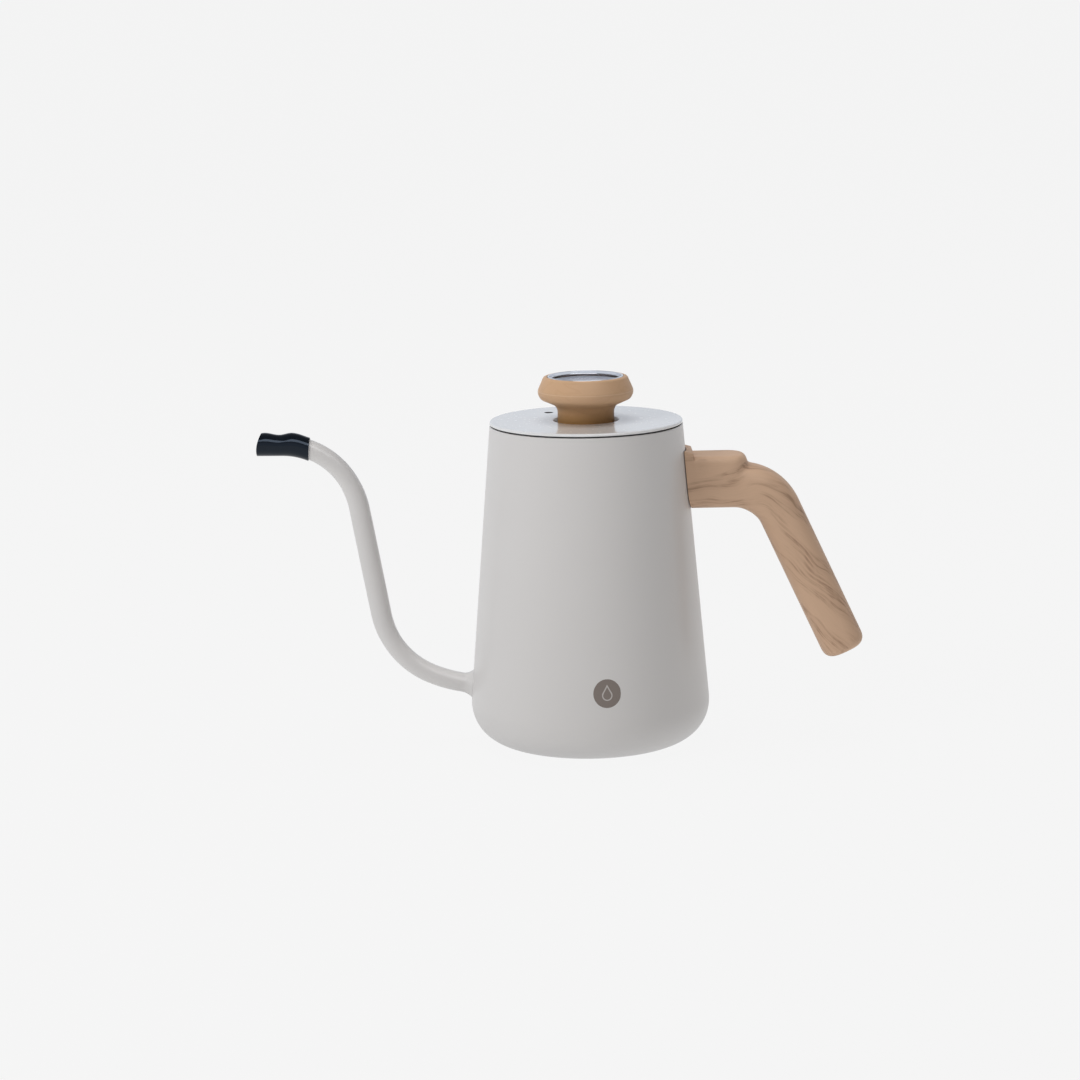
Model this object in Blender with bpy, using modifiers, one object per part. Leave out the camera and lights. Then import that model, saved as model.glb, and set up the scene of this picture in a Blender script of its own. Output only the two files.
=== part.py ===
"""Gooseneck pour-over kettle with a thermometer in the lid knob.

Blender 4.5, metres, +Z up. The origin is the centre of the base on the table, the spout points
to -X and the handle to +X. Each sub-part is one named object.
"""

import bmesh
import bpy
from math import acos, atan2, ceil, cos, pi, radians, sin, sqrt, tan
from mathutils import Matrix, Vector

MM = 0.001

# Fits
GAP = 0.3 * MM  # between two pieces that touch
HANDLE_GAP = 0.4 * MM  # open joint line between the handle's root and the body

# Body
BODY_HEIGHT = 134.07 * MM  # table to rim
BASE_RADIUS = 50.0 * MM  # widest, just above the bottom corner
RIM_RADIUS = 40.06 * MM
CORNER_RADIUS = 17.0 * MM
WALL = 0.8 * MM
RIM_TURN_IN = 3.06 * MM  # the rim is turned in by this, round the mouth
BASE_PLATE_MARGIN = 2.0 * MM  # the plate stops this far inside the bottom corner
BASE_PLATE_THICKNESS = 0.9 * MM

# Spout: a bent tube, with its centre line as a tube bender's list of (radius, turn) moves
SPOUT_RADIUS = 4.05 * MM  # at the bends
SPOUT_SWELL = 0.25 * MM  # the straight stretch, which no bend has narrowed, is wider by this
SPOUT_WALL = 0.7 * MM
SPOUT_ROOT_HEIGHT = 24.4 * MM
SPOUT_ROOT_RISE = radians(5.3)
SPOUT_LOW_BENDS = ((55.0 * MM, radians(19.1)), (35.0 * MM, radians(55.7)))
SPOUT_STRAIGHT = 45.9 * MM
SPOUT_HIGH_BENDS = ((37.0 * MM, radians(-18.2)), (31.5 * MM, radians(-61.1)))
SPOUT_TIP = 8.8 * MM
FOOT_FLARE = 1.8 * MM  # the tube's foot widens by this where it meets the body
SLEEVE_LENGTH = 22.8 * MM
SLEEVE_WALL = 0.55 * MM
SLEEVE_LIP = 1.2 * MM  # the sleeve reaches past the tube's end by this
SLEEVE_WAVE = 0.15 * MM  # soft waist and swell along the sleeve

# Handle
HANDLE_DEPTH = 18.4 * MM  # in the handle's own plane
HANDLE_WIDTH = 21.5 * MM  # across that plane
HANDLE_DROP = 26.8 * MM  # rim to the upper arm's centre line
HANDLE_REACH = 32.55 * MM  # body's wall to the corner of the two centre lines
HANDLE_BEND = 20.0 * MM
HANDLE_BEND_SWELL = 0.055  # share by which the section grows round the bend
HANDLE_ROOT_DEPTH = 8.0 * MM  # the blank starts this far inside the wall, then is cut to it
HANDLE_LEAN = radians(24.7)
GRIP_LENGTH = 77.9 * MM  # that corner to the grip's end
GRIP_END_ROUND = 3.5 * MM
PAD_RISE = 4.2 * MM
PAD_LENGTH = 24.25 * MM  # body's wall to the thumb pad's end
PAD_SIDE_INSET = 0.75 * MM  # pad to the arm's side
PAD_ROUND = 7.5 * MM
PAD_EDGE_ROUND = 2.2 * MM
ROOT_LIP_RISE = 2.9 * MM
ROOT_LIP_THICKNESS = 3.2 * MM
ROOT_LIP_ROUND = 1.2 * MM
BRACKET_COVER = 3.75 * MM  # plastic left beside the bracket, on each side
BRACKET_COVER_ABOVE = 2.7 * MM  # and above and below it
BRACKET_THICKNESS = 1.5 * MM
BRACKET_REACH = 4.0 * MM  # the blank of the curved plate ends this far outside the wall
TONGUE_INSET = 1.0 * MM  # the tongue is narrower than the plate by this, on each side
TONGUE_THICKNESS = 3.0 * MM
TONGUE_LENGTH = 19.0 * MM
SCREW_RADIUS = 2.0 * MM
SCREW_HEAD_RADIUS = 3.5 * MM
SCREW_HEAD_HEIGHT = 2.4 * MM
SCREW_FROM_BODY = 12.0 * MM
SCREW_HEAD_DEPTH = 0.7 * MM  # head sunk above the arm's underside
SOCKET_RADIUS = 1.4 * MM
SOCKET_DEPTH = 1.4 * MM
LOCK_WASHER_THICKNESS = 0.8 * MM

# Lid
LID_SEAM = 0.43 * MM  # open line between the rim and the lid's edge
LID_EDGE_HEIGHT = 1.3 * MM
LID_EDGE_INSET = 0.08 * MM  # lid's edge inside the rim's
LID_HEM = 0.75 * MM
LID_SHEET = 0.7 * MM
WELL_RADIUS = 15.3 * MM
WELL_DEPTH = 2.6 * MM
VENT_RADIUS = 1.75 * MM
VENT_MARGIN = 2.85 * MM  # vent to the skirt's flange below it
VENT_ANGLE = radians(126.0)
SKIRT_HEIGHT = 9.3 * MM
SKIRT_FLANGE = 5.0 * MM
SKIRT_SHEET = 0.6 * MM
SEAL_WALL = 0.6 * MM
SEAL_RIB = 0.2 * MM
SEAL_RIB_HEIGHT = 1.0 * MM
SEAL_RIB_DROPS = (3.0 * MM, 5.5 * MM)  # below the seal's flange
SEAL_SHORT = 1.5 * MM  # the seal ends this far above the skirt's end

# Knob
NECK_RADIUS = 11.45 * MM
NECK_HEIGHT = 7.3 * MM
KNOB_WALL = 4.1 * MM  # round the thermometer's pocket, at the head's widest
KNOB_HEIGHT = 19.55 * MM
KNOB_RIM = 0.55 * MM  # width of the thin edge round the thermometer
KNOB_TOP_INSET = 2.45 * MM  # head's upper corner, inside its widest
KNOB_TOP_FALL = 0.4 * MM  # and below its top
KNOB_BELLY = 6.6 * MM  # top down to the head's lower corner
KNOB_BELLY_SPARE = 0.3 * MM  # that corner before it is rounded, outside the widest
KNOB_CHIN = 9.45 * MM  # top down to where the head turns in under itself
KNOB_CHIN_INSET = 1.0 * MM
KNOB_SEAT_DEPTH = 1.4 * MM  # recess for the bush's flange, below the pocket
GASKET_THICKNESS = 0.8 * MM

# Thermometer
CASE_RADIUS = 15.4 * MM
CASE_WALL = 0.4 * MM
CASE_HEIGHT = 5.3 * MM
CASE_LEDGE = 1.4 * MM  # inner step that carries the dial
BEZEL_HEIGHT = 1.2 * MM
BEZEL_LIP = 1.1 * MM
BEZEL_TOP_WIDTH = 0.45 * MM
GLASS_THICKNESS = 1.1 * MM
GLASS_SUNK = 0.15 * MM  # glass below the case's top
LENS_GASKET_WIDTH = 1.0 * MM
LENS_GASKET_THICKNESS = 0.5 * MM
DIAL_THICKNESS = 0.3 * MM
DIAL_DEPTH = 3.2 * MM  # case rim to the dial's face
POINTER_LENGTH = 11.8 * MM
POINTER_TAIL = 4.0 * MM
POINTER_TIP_WIDTH = 0.4 * MM
POINTER_TAIL_WIDTH = 1.4 * MM
POINTER_THICKNESS = 0.25 * MM
POINTER_ABOVE_DIAL = 0.5 * MM
HUB_RADIUS = 1.7 * MM
HUB_TOP = 0.6 * MM  # above the needle's middle
POINTER_ANGLE = radians(171.0)  # at room temperature, from +X
SPINDLE_RADIUS = 0.5 * MM
SPINDLE_ABOVE_DIAL = 1.3 * MM
BUSHING_DROPS = (3.0 * MM, 6.0 * MM)  # spindle bushing's ends, below the case
STEM_RADIUS = 2.0 * MM
STEM_WALL = 0.35 * MM
STEM_REACH = 90.0 * MM  # rim down to the stem's tip
BUSH_RADIUS = 3.9 * MM
BUSH_FLANGE = 2.9 * MM  # width of the bush's flange
BUSH_FLANGE_THICKNESS = 1.1 * MM
BUSH_BELOW_NUT = 1.0 * MM
NUT_GASKET_WIDTH = 4.0 * MM
NUT_WASHER_WIDTH = 3.6 * MM
NUT_WASHER_THICKNESS = 0.7 * MM
NUT_ACROSS_FLATS = 13.0 * MM
NUT_HEIGHT = 4.0 * MM
COIL_TURNS = 8
COIL_RADIUS = 1.1 * MM
COIL_WIRE = 0.2 * MM
COIL_LENGTH = 30.0 * MM

# Facets round a turn
LARGE = 40
MEDIUM = 32
SMALL = 16

# Sizes that follow from those above
mouth_radius = RIM_RADIUS - RIM_TURN_IN
base_plate_radius = BASE_RADIUS - CORNER_RADIUS - BASE_PLATE_MARGIN
pad_width = HANDLE_WIDTH - 2 * PAD_SIDE_INSET
bracket_width = HANDLE_WIDTH - 2 * BRACKET_COVER
bracket_height = HANDLE_DEPTH - 2 * BRACKET_COVER_ABOVE
tongue_width = bracket_width - 2 * TONGUE_INSET
lid_top = BODY_HEIGHT + LID_SEAM + LID_EDGE_HEIGHT
lid_under = lid_top - LID_SHEET
well_floor = lid_top - WELL_DEPTH
neck_base = well_floor + GAP + GASKET_THICKNESS + GAP
knob_top = neck_base + KNOB_HEIGHT
pocket_radius = CASE_RADIUS + GAP
knob_radius = pocket_radius + KNOB_WALL
case_top = knob_top - GAP - BEZEL_HEIGHT
case_floor = case_top - CASE_HEIGHT
pocket_floor = case_floor - GAP
dial_top = case_top - DIAL_DEPTH
arm_height = BODY_HEIGHT - HANDLE_DROP
skirt_radius = mouth_radius - GAP - SEAL_RIB - SEAL_WALL - GAP
vent_from_axis = skirt_radius - SKIRT_FLANGE - VENT_MARGIN - VENT_RADIUS
bush_flange_radius = BUSH_RADIUS + BUSH_FLANGE


for old in list(bpy.data.objects):
    bpy.data.objects.remove(old)
kettle = bpy.data.collections.new("gooseneck_kettle")
cutters = bpy.data.collections.new("cutters")
for collection in (kettle, cutters):
    bpy.context.scene.collection.children.link(collection)


# Materials

def principled(name, colour, roughness, metallic=0.0, transmission=0.0):
    material = bpy.data.materials.new(name)
    material.use_nodes = True
    shader = material.node_tree.nodes["Principled BSDF"]
    shader.inputs["Base Color"].default_value = (*colour, 1.0)
    shader.inputs["Roughness"].default_value = roughness
    shader.inputs["Metallic"].default_value = metallic
    shader.inputs["Transmission Weight"].default_value = transmission
    return material


def painted(name):
    return principled(name, (0.72, 0.69, 0.66), 0.45)


def steel(name, roughness=0.28):
    return principled(name, (0.62, 0.61, 0.60), roughness, 1.0)


def wood_look(name):
    return principled(name, (0.46, 0.29, 0.18), 0.5)


def rubber(name, shade=0.02):
    return principled(name, (shade, shade, shade), 0.4)


# Outlines and shapes

def outline(corners, step=radians(18.0)):
    """Points of an outline whose corners (x, z, fillet radius) are rounded by arcs."""
    points = []
    for i, (x, z, fillet) in enumerate(corners):
        if not fillet:
            points.append((x, z))
            continue
        corner = Vector((x, z))
        before = (Vector(corners[i - 1][:2]) - corner).normalized()
        after = (Vector(corners[(i + 1) % len(corners)][:2]) - corner).normalized()
        half = before.angle(after) / 2
        centre = corner + (before + after).normalized() * fillet / sin(half)
        start = corner + before * fillet / tan(half) - centre
        turn = start.angle_signed(corner + after * fillet / tan(half) - centre)
        count = max(2, ceil(abs(turn) / step))
        for k in range(count + 1):
            spoke = Matrix.Rotation(-turn * k / count, 2) @ start
            points.append(tuple(centre + spoke))
    return points


def ring(inner, outer, low, high):
    """Square outline of a plain ring, its outer side running down."""
    return [(inner, high), (outer, high), (outer, low), (inner, low)]


def place(obj, material, collection=None):
    (collection or kettle).objects.link(obj)
    if material:
        obj.data.materials.append(material)
    return obj


def turned(name, points, material, steps=MEDIUM, closed=True):
    """Solid of revolution about Z, from an outline at +X whose outer side runs down."""
    mesh = bpy.data.meshes.new(name)
    count = len(points)
    edges = [(i, (i + 1) % count) for i in range(count if closed else count - 1)]
    mesh.from_pydata([(x, 0, z) for x, z in points], edges, [])
    obj = place(bpy.data.objects.new(name, mesh), material)
    screw = obj.modifiers.new("turn", "SCREW")
    screw.steps = screw.render_steps = steps
    screw.use_merge_vertices = True
    screw.merge_threshold = 1e-6
    screw.use_smooth_shade = False
    return obj


def box(name, low, high, material=None):
    """Box between two corners."""
    mesh = bpy.data.meshes.new(name)
    shape = bmesh.new()
    bmesh.ops.create_cube(shape, size=1.0)
    size = Vector(high) - Vector(low)
    bmesh.ops.scale(shape, vec=size, verts=shape.verts)
    bmesh.ops.translate(shape, vec=Vector(low) + size / 2, verts=shape.verts)
    shape.to_mesh(mesh)
    shape.free()
    return place(bpy.data.objects.new(name, mesh), material)


def rod(name, radius, low, high, at=(0.0, 0.0), steps=SMALL, material=None):
    """Upright cylinder, or a prism where steps is small."""
    mesh = bpy.data.meshes.new(name)
    shape = bmesh.new()
    bmesh.ops.create_cone(shape, cap_ends=True, segments=steps, radius1=radius,
                          radius2=radius, depth=high - low)
    bmesh.ops.translate(shape, vec=(*at, (low + high) / 2), verts=shape.verts)
    shape.to_mesh(mesh)
    shape.free()
    return place(bpy.data.objects.new(name, mesh), material)


def edge_bevel(obj, width, segments=3, angle=radians(40.0)):
    bevel = obj.modifiers.new("round edges", "BEVEL")
    bevel.width = width
    bevel.segments = segments
    bevel.limit_method = "ANGLE"
    bevel.angle_limit = angle
    return obj


def combine(obj, other, operation="DIFFERENCE"):
    """Boolean with another object, which becomes a hidden cutter."""
    boolean = obj.modifiers.new(operation.lower(), "BOOLEAN")
    boolean.operation = operation
    boolean.object = other
    if other.name not in cutters.objects:
        kettle.objects.unlink(other)
        cutters.objects.link(other)
    other.hide_render = True
    other.display_type = "WIRE"
    return obj


def meshed(guide):
    """Mesh object in place of a curve object, with its caps welded on."""
    bpy.context.view_layer.update()
    graph = bpy.context.evaluated_depsgraph_get()
    mesh = bpy.data.meshes.new_from_object(guide.evaluated_get(graph))
    shape = bmesh.new()
    shape.from_mesh(mesh)
    bmesh.ops.remove_doubles(shape, verts=shape.verts, dist=1e-6)
    bmesh.ops.recalc_face_normals(shape, faces=shape.faces)
    shape.to_mesh(mesh)
    shape.free()
    name, matrix = guide.name, guide.matrix_world.copy()
    bpy.data.objects.remove(guide)
    mesh.name = name
    obj = place(bpy.data.objects.new(name, mesh), None)
    obj.matrix_world = matrix
    return obj


def swept(name, path, radii, material, sides=2, profile=None):
    """Solid along a path of points in the XZ plane; sides is the bevel resolution."""
    curve = bpy.data.curves.new(name, "CURVE")
    curve.dimensions = "3D"
    curve.twist_mode = "Z_UP"
    curve.use_fill_caps = True
    spline = curve.splines.new("POLY")
    spline.points.add(len(path) - 1)
    for point, place_at, radius in zip(spline.points, path, radii):
        point.co = (*place_at, 1.0)
        point.radius = radius
    if profile:
        curve.bevel_mode = "OBJECT"
        curve.bevel_object = profile
    else:
        curve.bevel_depth = 1.0
        curve.bevel_resolution = sides
    obj = meshed(place(bpy.data.objects.new(name, curve), None))
    if material:
        obj.data.materials.append(material)
    return obj


def smooth(obj, angle=radians(35.0)):
    obj.data.shade_smooth()
    obj.data.set_sharp_from_angle(angle=angle)


# Body

def body_line(offset=0.0, rim=BODY_HEIGHT):
    """Corner and side of the body at an offset outside its face, from the rim down."""
    centre = Vector((BASE_RADIUS - CORNER_RADIUS, CORNER_RADIUS))
    to_rim = Vector((RIM_RADIUS, BODY_HEIGHT)) - centre
    lean = atan2(to_rim.y, to_rim.x) - acos(CORNER_RADIUS / to_rim.length)
    radius = CORNER_RADIUS + offset
    touch = centre + radius * Vector((cos(lean), sin(lean)))
    rim_radius = touch.x - (rim - touch.y) * tan(lean)
    count = 9
    turn = lean + pi / 2
    arc = [centre + radius * Vector((cos(lean - turn * k / count), sin(lean - turn * k / count)))
           for k in range(count + 1)]
    return [(rim_radius, rim)] + [tuple(point) for point in arc]


def body_radius(height):
    """Radius of the body's outer face at a height on its straight side."""
    return body_line(rim=height)[0][0]


def body_blank(name, offset, low=-1.0 * MM, above=10.0 * MM):
    """Solid of the body's outer shape, grown by an offset, that cuts its neighbours to it."""
    line = body_line(offset, BODY_HEIGHT + above)
    bottom = min(low, line[-1][1] - offset)
    points = [(0.0, line[0][1])] + line + [(line[-1][0], bottom), (0.0, bottom)]
    return turned(name, points, None, LARGE, closed=False)


def make_body():
    recess = BASE_PLATE_THICKNESS + GAP
    inner = body_line(-WALL, BODY_HEIGHT - WALL)
    inner_low = [point for point in inner if point[1] > recess + WALL]
    floor = recess + WALL
    outer = body_line()
    rim = outline([
        (mouth_radius, BODY_HEIGHT - WALL, 0), (mouth_radius, BODY_HEIGHT, 0.3 * MM),
        (RIM_RADIUS, BODY_HEIGHT, 0.4 * MM), (*outer[1], 0)], radians(45.0))[:-1]
    bottom = [(base_plate_radius + GAP, 0.0), (base_plate_radius + GAP, recess), (0.0, recess)]
    points = [(0.0, floor)] + inner_low[::-1] + rim + outer[1:] + bottom
    body = turned("body_shell", points, painted("body_paint"), LARGE, closed=False)
    plate = outline([
        (0.0, BASE_PLATE_THICKNESS, 0), (base_plate_radius, BASE_PLATE_THICKNESS, 0),
        (base_plate_radius, 0.0, 0.3 * MM), (0.0, 0.0, 0)], radians(45.0))
    turned("base_plate", plate, steel("brushed_base", 0.35), LARGE, closed=False)
    return body


# Spout

def bend_path(start, heading, moves, step=radians(6.0)):
    """Centre line of a bent tube in the XZ plane, heading measured up from -X.

    A move is (radius, turn) for a bend or (length, None) for a straight stretch.
    """
    x, z = start
    points = [(x, 0.0, z)]
    for size, turn in moves:
        if turn is None:
            x, z = x - size * cos(heading), z + size * sin(heading)
            points.append((x, 0.0, z))
            continue
        count = ceil(abs(turn) / step)
        chord = 2 * size * sin(abs(turn) / count / 2)
        for _ in range(count):
            heading += turn / count / 2
            x, z = x - chord * cos(heading), z + chord * sin(heading)
            heading += turn / count / 2
            points.append((x, 0.0, z))
    return points


def lengths_along(path):
    total, found = 0.0, [0.0]
    for a, b in zip(path, path[1:]):
        total += (Vector(b) - Vector(a)).length
        found.append(total)
    return found


def point_along(path, distance):
    """Point at a distance along the path; the end stretches run on past the path."""
    marks = lengths_along(path)
    i = max(1, min(len(path) - 1, sum(mark < distance for mark in marks)))
    a, b = Vector(path[i - 1]), Vector(path[i])
    return tuple(a + (b - a).normalized() * (distance - marks[i - 1]))


def spout_line():
    """Centre line from the body's wall to the tube's end."""
    start = (-body_radius(SPOUT_ROOT_HEIGHT), SPOUT_ROOT_HEIGHT)
    moves = [*SPOUT_LOW_BENDS, (SPOUT_STRAIGHT, None), *SPOUT_HIGH_BENDS, (SPOUT_TIP, None)]
    return bend_path(start, SPOUT_ROOT_RISE, moves)


def spout_radius(distance):
    """Outer radius of the tube, which bending narrows a little."""
    low_end = sum(radius * abs(turn) for radius, turn in SPOUT_LOW_BENDS)
    middle = low_end + SPOUT_STRAIGHT / 2
    fade = 0.75 * SPOUT_STRAIGHT
    swell = SPOUT_SWELL * (1.0 - min(1.0, abs(distance - middle) / fade) ** 4)
    foot = min(1.0, max(0.0, 1.0 - distance / (2.0 * FOOT_FLARE)))
    return SPOUT_RADIUS + swell + FOOT_FLARE * foot ** 2


def make_spout(body):
    line = spout_line()
    total = lengths_along(line)[-1]
    root = -4.0 * FOOT_FLARE
    foot = [FOOT_FLARE * share for share in (0.0, 0.4, 0.8, 1.3, 2.0)]
    marks = [root] + foot + [mark for mark in lengths_along(line) if mark > 2.5 * FOOT_FLARE]
    outer = [point_along(line, mark) for mark in marks]
    radii = [spout_radius(mark) for mark in marks]
    tube = swept("spout_tube", outer, radii, painted("spout_paint"), sides=3)
    past_ends = 2 * MM
    inner_marks = [root - past_ends] + marks[1 + len(foot):-1] + [total + SLEEVE_LIP + past_ends]
    inner = [point_along(line, mark) for mark in inner_marks]
    bore = swept("spout_bore", inner, [SPOUT_RADIUS - SPOUT_WALL] * len(inner), None, sides=3)
    combine(tube, body_blank("spout_root_cut", GAP))
    combine(tube, bore)
    combine(body, bore)

    steps = 12
    sleeve_marks = [total + SLEEVE_LIP - SLEEVE_LENGTH * (1.0 - k / steps)
                    for k in range(steps + 1)]
    sleeve_path = [point_along(line, mark) for mark in sleeve_marks]
    sleeve_inner = SPOUT_RADIUS + GAP
    sleeve_radii = [sleeve_inner + SLEEVE_WALL + SLEEVE_WAVE * sin(4 * pi * k / steps)
                    for k in range(steps + 1)]
    sleeve = swept("spout_tip_sleeve", sleeve_path, sleeve_radii, rubber("black_silicone", 0.01),
                   sides=3)
    hollow_marks = ([sleeve_marks[0] - past_ends] + sleeve_marks[1:-1]
                    + [sleeve_marks[-1] + past_ends])
    hollow_path = [point_along(line, mark) for mark in hollow_marks]
    combine(sleeve, swept("sleeve_bore", hollow_path, [sleeve_inner] * len(hollow_path), None,
                          sides=3))


# Handle

def handle_section(power=2.8, count=28):
    """Rounded section of the grip as a flat closed curve: X across it, Y in its plane."""
    curve = bpy.data.curves.new("handle_section", "CURVE")
    curve.dimensions = "2D"
    spline = curve.splines.new("POLY")
    spline.points.add(count - 1)
    spline.use_cyclic_u = True
    for k, point in enumerate(spline.points):
        angle = 2 * pi * (k + 0.5) / count
        c, s = cos(angle), sin(angle)
        reach = (abs(c) ** power + abs(s) ** power) ** (-1 / power)
        point.co = (HANDLE_WIDTH / 2 * reach * c, HANDLE_DEPTH / 2 * reach * s, 0.0, 1.0)
    section = bpy.data.objects.new("handle_section", curve)
    cutters.objects.link(section)
    section.hide_render = True
    return section


def handle_line(wall_x):
    """Points and size factors down the handle's centre line, from inside the body's wall."""
    turn = pi / 2 - HANDLE_LEAN
    corner_x = wall_x + HANDLE_REACH
    centre = (corner_x - HANDLE_BEND * tan(turn / 2), arm_height - HANDLE_BEND)
    points, factors = [(wall_x - HANDLE_ROOT_DEPTH, 0.0, arm_height)], [1.0]
    bends = 10
    for k in range(bends + 1):
        angle = turn * k / bends
        points.append((centre[0] + HANDLE_BEND * sin(angle), 0.0,
                       centre[1] + HANDLE_BEND * cos(angle)))
        factors.append(1.0 + HANDLE_BEND_SWELL * sin(pi * k / bends))
    grip_end = Vector((corner_x + GRIP_LENGTH * sin(HANDLE_LEAN), 0.0,
                       arm_height - GRIP_LENGTH * cos(HANDLE_LEAN)))
    back = Vector((-sin(HANDLE_LEAN), 0.0, cos(HANDLE_LEAN)))
    half = HANDLE_DEPTH / 2
    rounds = 5
    for k in range(rounds + 1):
        angle = pi / 2 * k / rounds
        left = GRIP_END_ROUND * (1.0 - sin(angle))
        points.append(tuple(grip_end + back * left))
        factors.append((half - GRIP_END_ROUND * (1.0 - cos(angle))) / half)
    return points, factors


def make_grip(wall_x, wood):
    """Arm, bend and grip in one moulding, with a thumb pad and a raised lip at its root."""
    root = wall_x - HANDLE_ROOT_DEPTH
    points, factors = handle_line(wall_x)
    grip = swept("handle_grip", points, factors, wood, profile=handle_section())

    pad_top = arm_height + HANDLE_DEPTH / 2 + PAD_RISE
    pad = box("thumb_pad", (root, -pad_width / 2, arm_height),
              (wall_x + PAD_LENGTH, pad_width / 2, pad_top))
    shape = bmesh.new()
    shape.from_mesh(pad.data)
    upright = [edge for edge in shape.edges
               if all(vert.co.x > wall_x for vert in edge.verts)
               and edge.verts[0].co.z != edge.verts[1].co.z]
    bmesh.ops.bevel(shape, geom=upright, offset=PAD_ROUND, segments=5, profile=0.5,
                    affect="EDGES")
    shape.to_mesh(pad.data)
    shape.free()
    edge_bevel(pad, PAD_EDGE_ROUND)
    combine(grip, pad, "UNION")

    lip_top = pad_top + ROOT_LIP_RISE
    lip = box("root_lip", (root, -pad_width / 2, arm_height),
              (body_radius(lip_top) + ROOT_LIP_THICKNESS, pad_width / 2, lip_top))
    edge_bevel(lip, ROOT_LIP_ROUND, segments=2)
    combine(grip, lip, "UNION")
    combine(grip, body_blank("handle_root_cut", HANDLE_GAP))
    return grip


def centred_box(name, near, far, width, height, material=None):
    """Box from one x to another, centred on the arm's centre line."""
    return box(name, (near, -width / 2, arm_height - height / 2),
               (far, width / 2, arm_height + height / 2), material)


def make_bracket(wall_x):
    """Plate curved to the body's wall, with a tapped tongue that reaches into the arm."""
    root = wall_x - HANDLE_ROOT_DEPTH
    bracket = centred_box("handle_bracket", root, wall_x + BRACKET_REACH, bracket_width,
                          bracket_height, steel("bracket_steel", 0.35))
    combine(bracket, body_blank("bracket_face", GAP + BRACKET_THICKNESS), "INTERSECT")
    tongue = centred_box("bracket_tongue", wall_x - MM, wall_x + TONGUE_LENGTH, tongue_width,
                         TONGUE_THICKNESS)
    combine(bracket, tongue, "UNION")
    combine(bracket, body_blank("bracket_seat", GAP))
    combine(bracket, rod("tapped_hole", SCREW_RADIUS + GAP, arm_height - TONGUE_THICKNESS,
                         arm_height + TONGUE_THICKNESS, (wall_x + SCREW_FROM_BODY, 0.0)))


def make_handle():
    wall_x = body_radius(arm_height)
    root = wall_x - HANDLE_ROOT_DEPTH
    grip = make_grip(wall_x, wood_look("wood_look_plastic"))
    make_bracket(wall_x)

    pocket = centred_box("plate_pocket", root, wall_x + BRACKET_REACH, bracket_width + 2 * GAP,
                         bracket_height + 2 * GAP)
    combine(pocket, body_blank("plate_pocket_face", BRACKET_THICKNESS + 2 * GAP), "INTERSECT")
    combine(grip, pocket)
    combine(grip, centred_box("tongue_slot", root, wall_x + TONGUE_LENGTH + GAP,
                              tongue_width + 2 * GAP, TONGUE_THICKNESS + 2 * GAP))

    screw_at = (wall_x + SCREW_FROM_BODY, 0.0)
    hole = SCREW_RADIUS + GAP
    underside = arm_height - HANDLE_DEPTH / 2
    head_low = underside + SCREW_HEAD_DEPTH
    head_high = head_low + SCREW_HEAD_HEIGHT
    washer_low = head_high + GAP
    washer_high = washer_low + LOCK_WASHER_THICKNESS
    seat = washer_high + GAP
    combine(grip, rod("screw_hole", hole, seat - MM, arm_height, screw_at))
    combine(grip, rod("counterbore", SCREW_HEAD_RADIUS + 2 * GAP, underside - 3 * MM, seat,
                      screw_at))

    screw_end = arm_height + TONGUE_THICKNESS / 2
    profile = outline([
        (0.0, screw_end, 0), (SCREW_RADIUS, screw_end, 0), (SCREW_RADIUS, head_high, 0),
        (SCREW_HEAD_RADIUS, head_high, 0), (SCREW_HEAD_RADIUS, head_low, 0.8 * MM),
        (0.0, head_low, 0)], radians(30.0))
    screw = turned("handle_screw", profile, steel("screw_steel"), SMALL, closed=False)
    screw.location.x = screw_at[0]
    combine(screw, rod("hex_socket", SOCKET_RADIUS, head_low - MM, head_low + SOCKET_DEPTH,
                       screw_at, 6))
    washer = turned("handle_lock_washer", ring(hole, SCREW_HEAD_RADIUS, washer_low, washer_high),
                    steel("washer_steel"), SMALL)
    washer.location.x = screw_at[0]


# Lid

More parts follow.
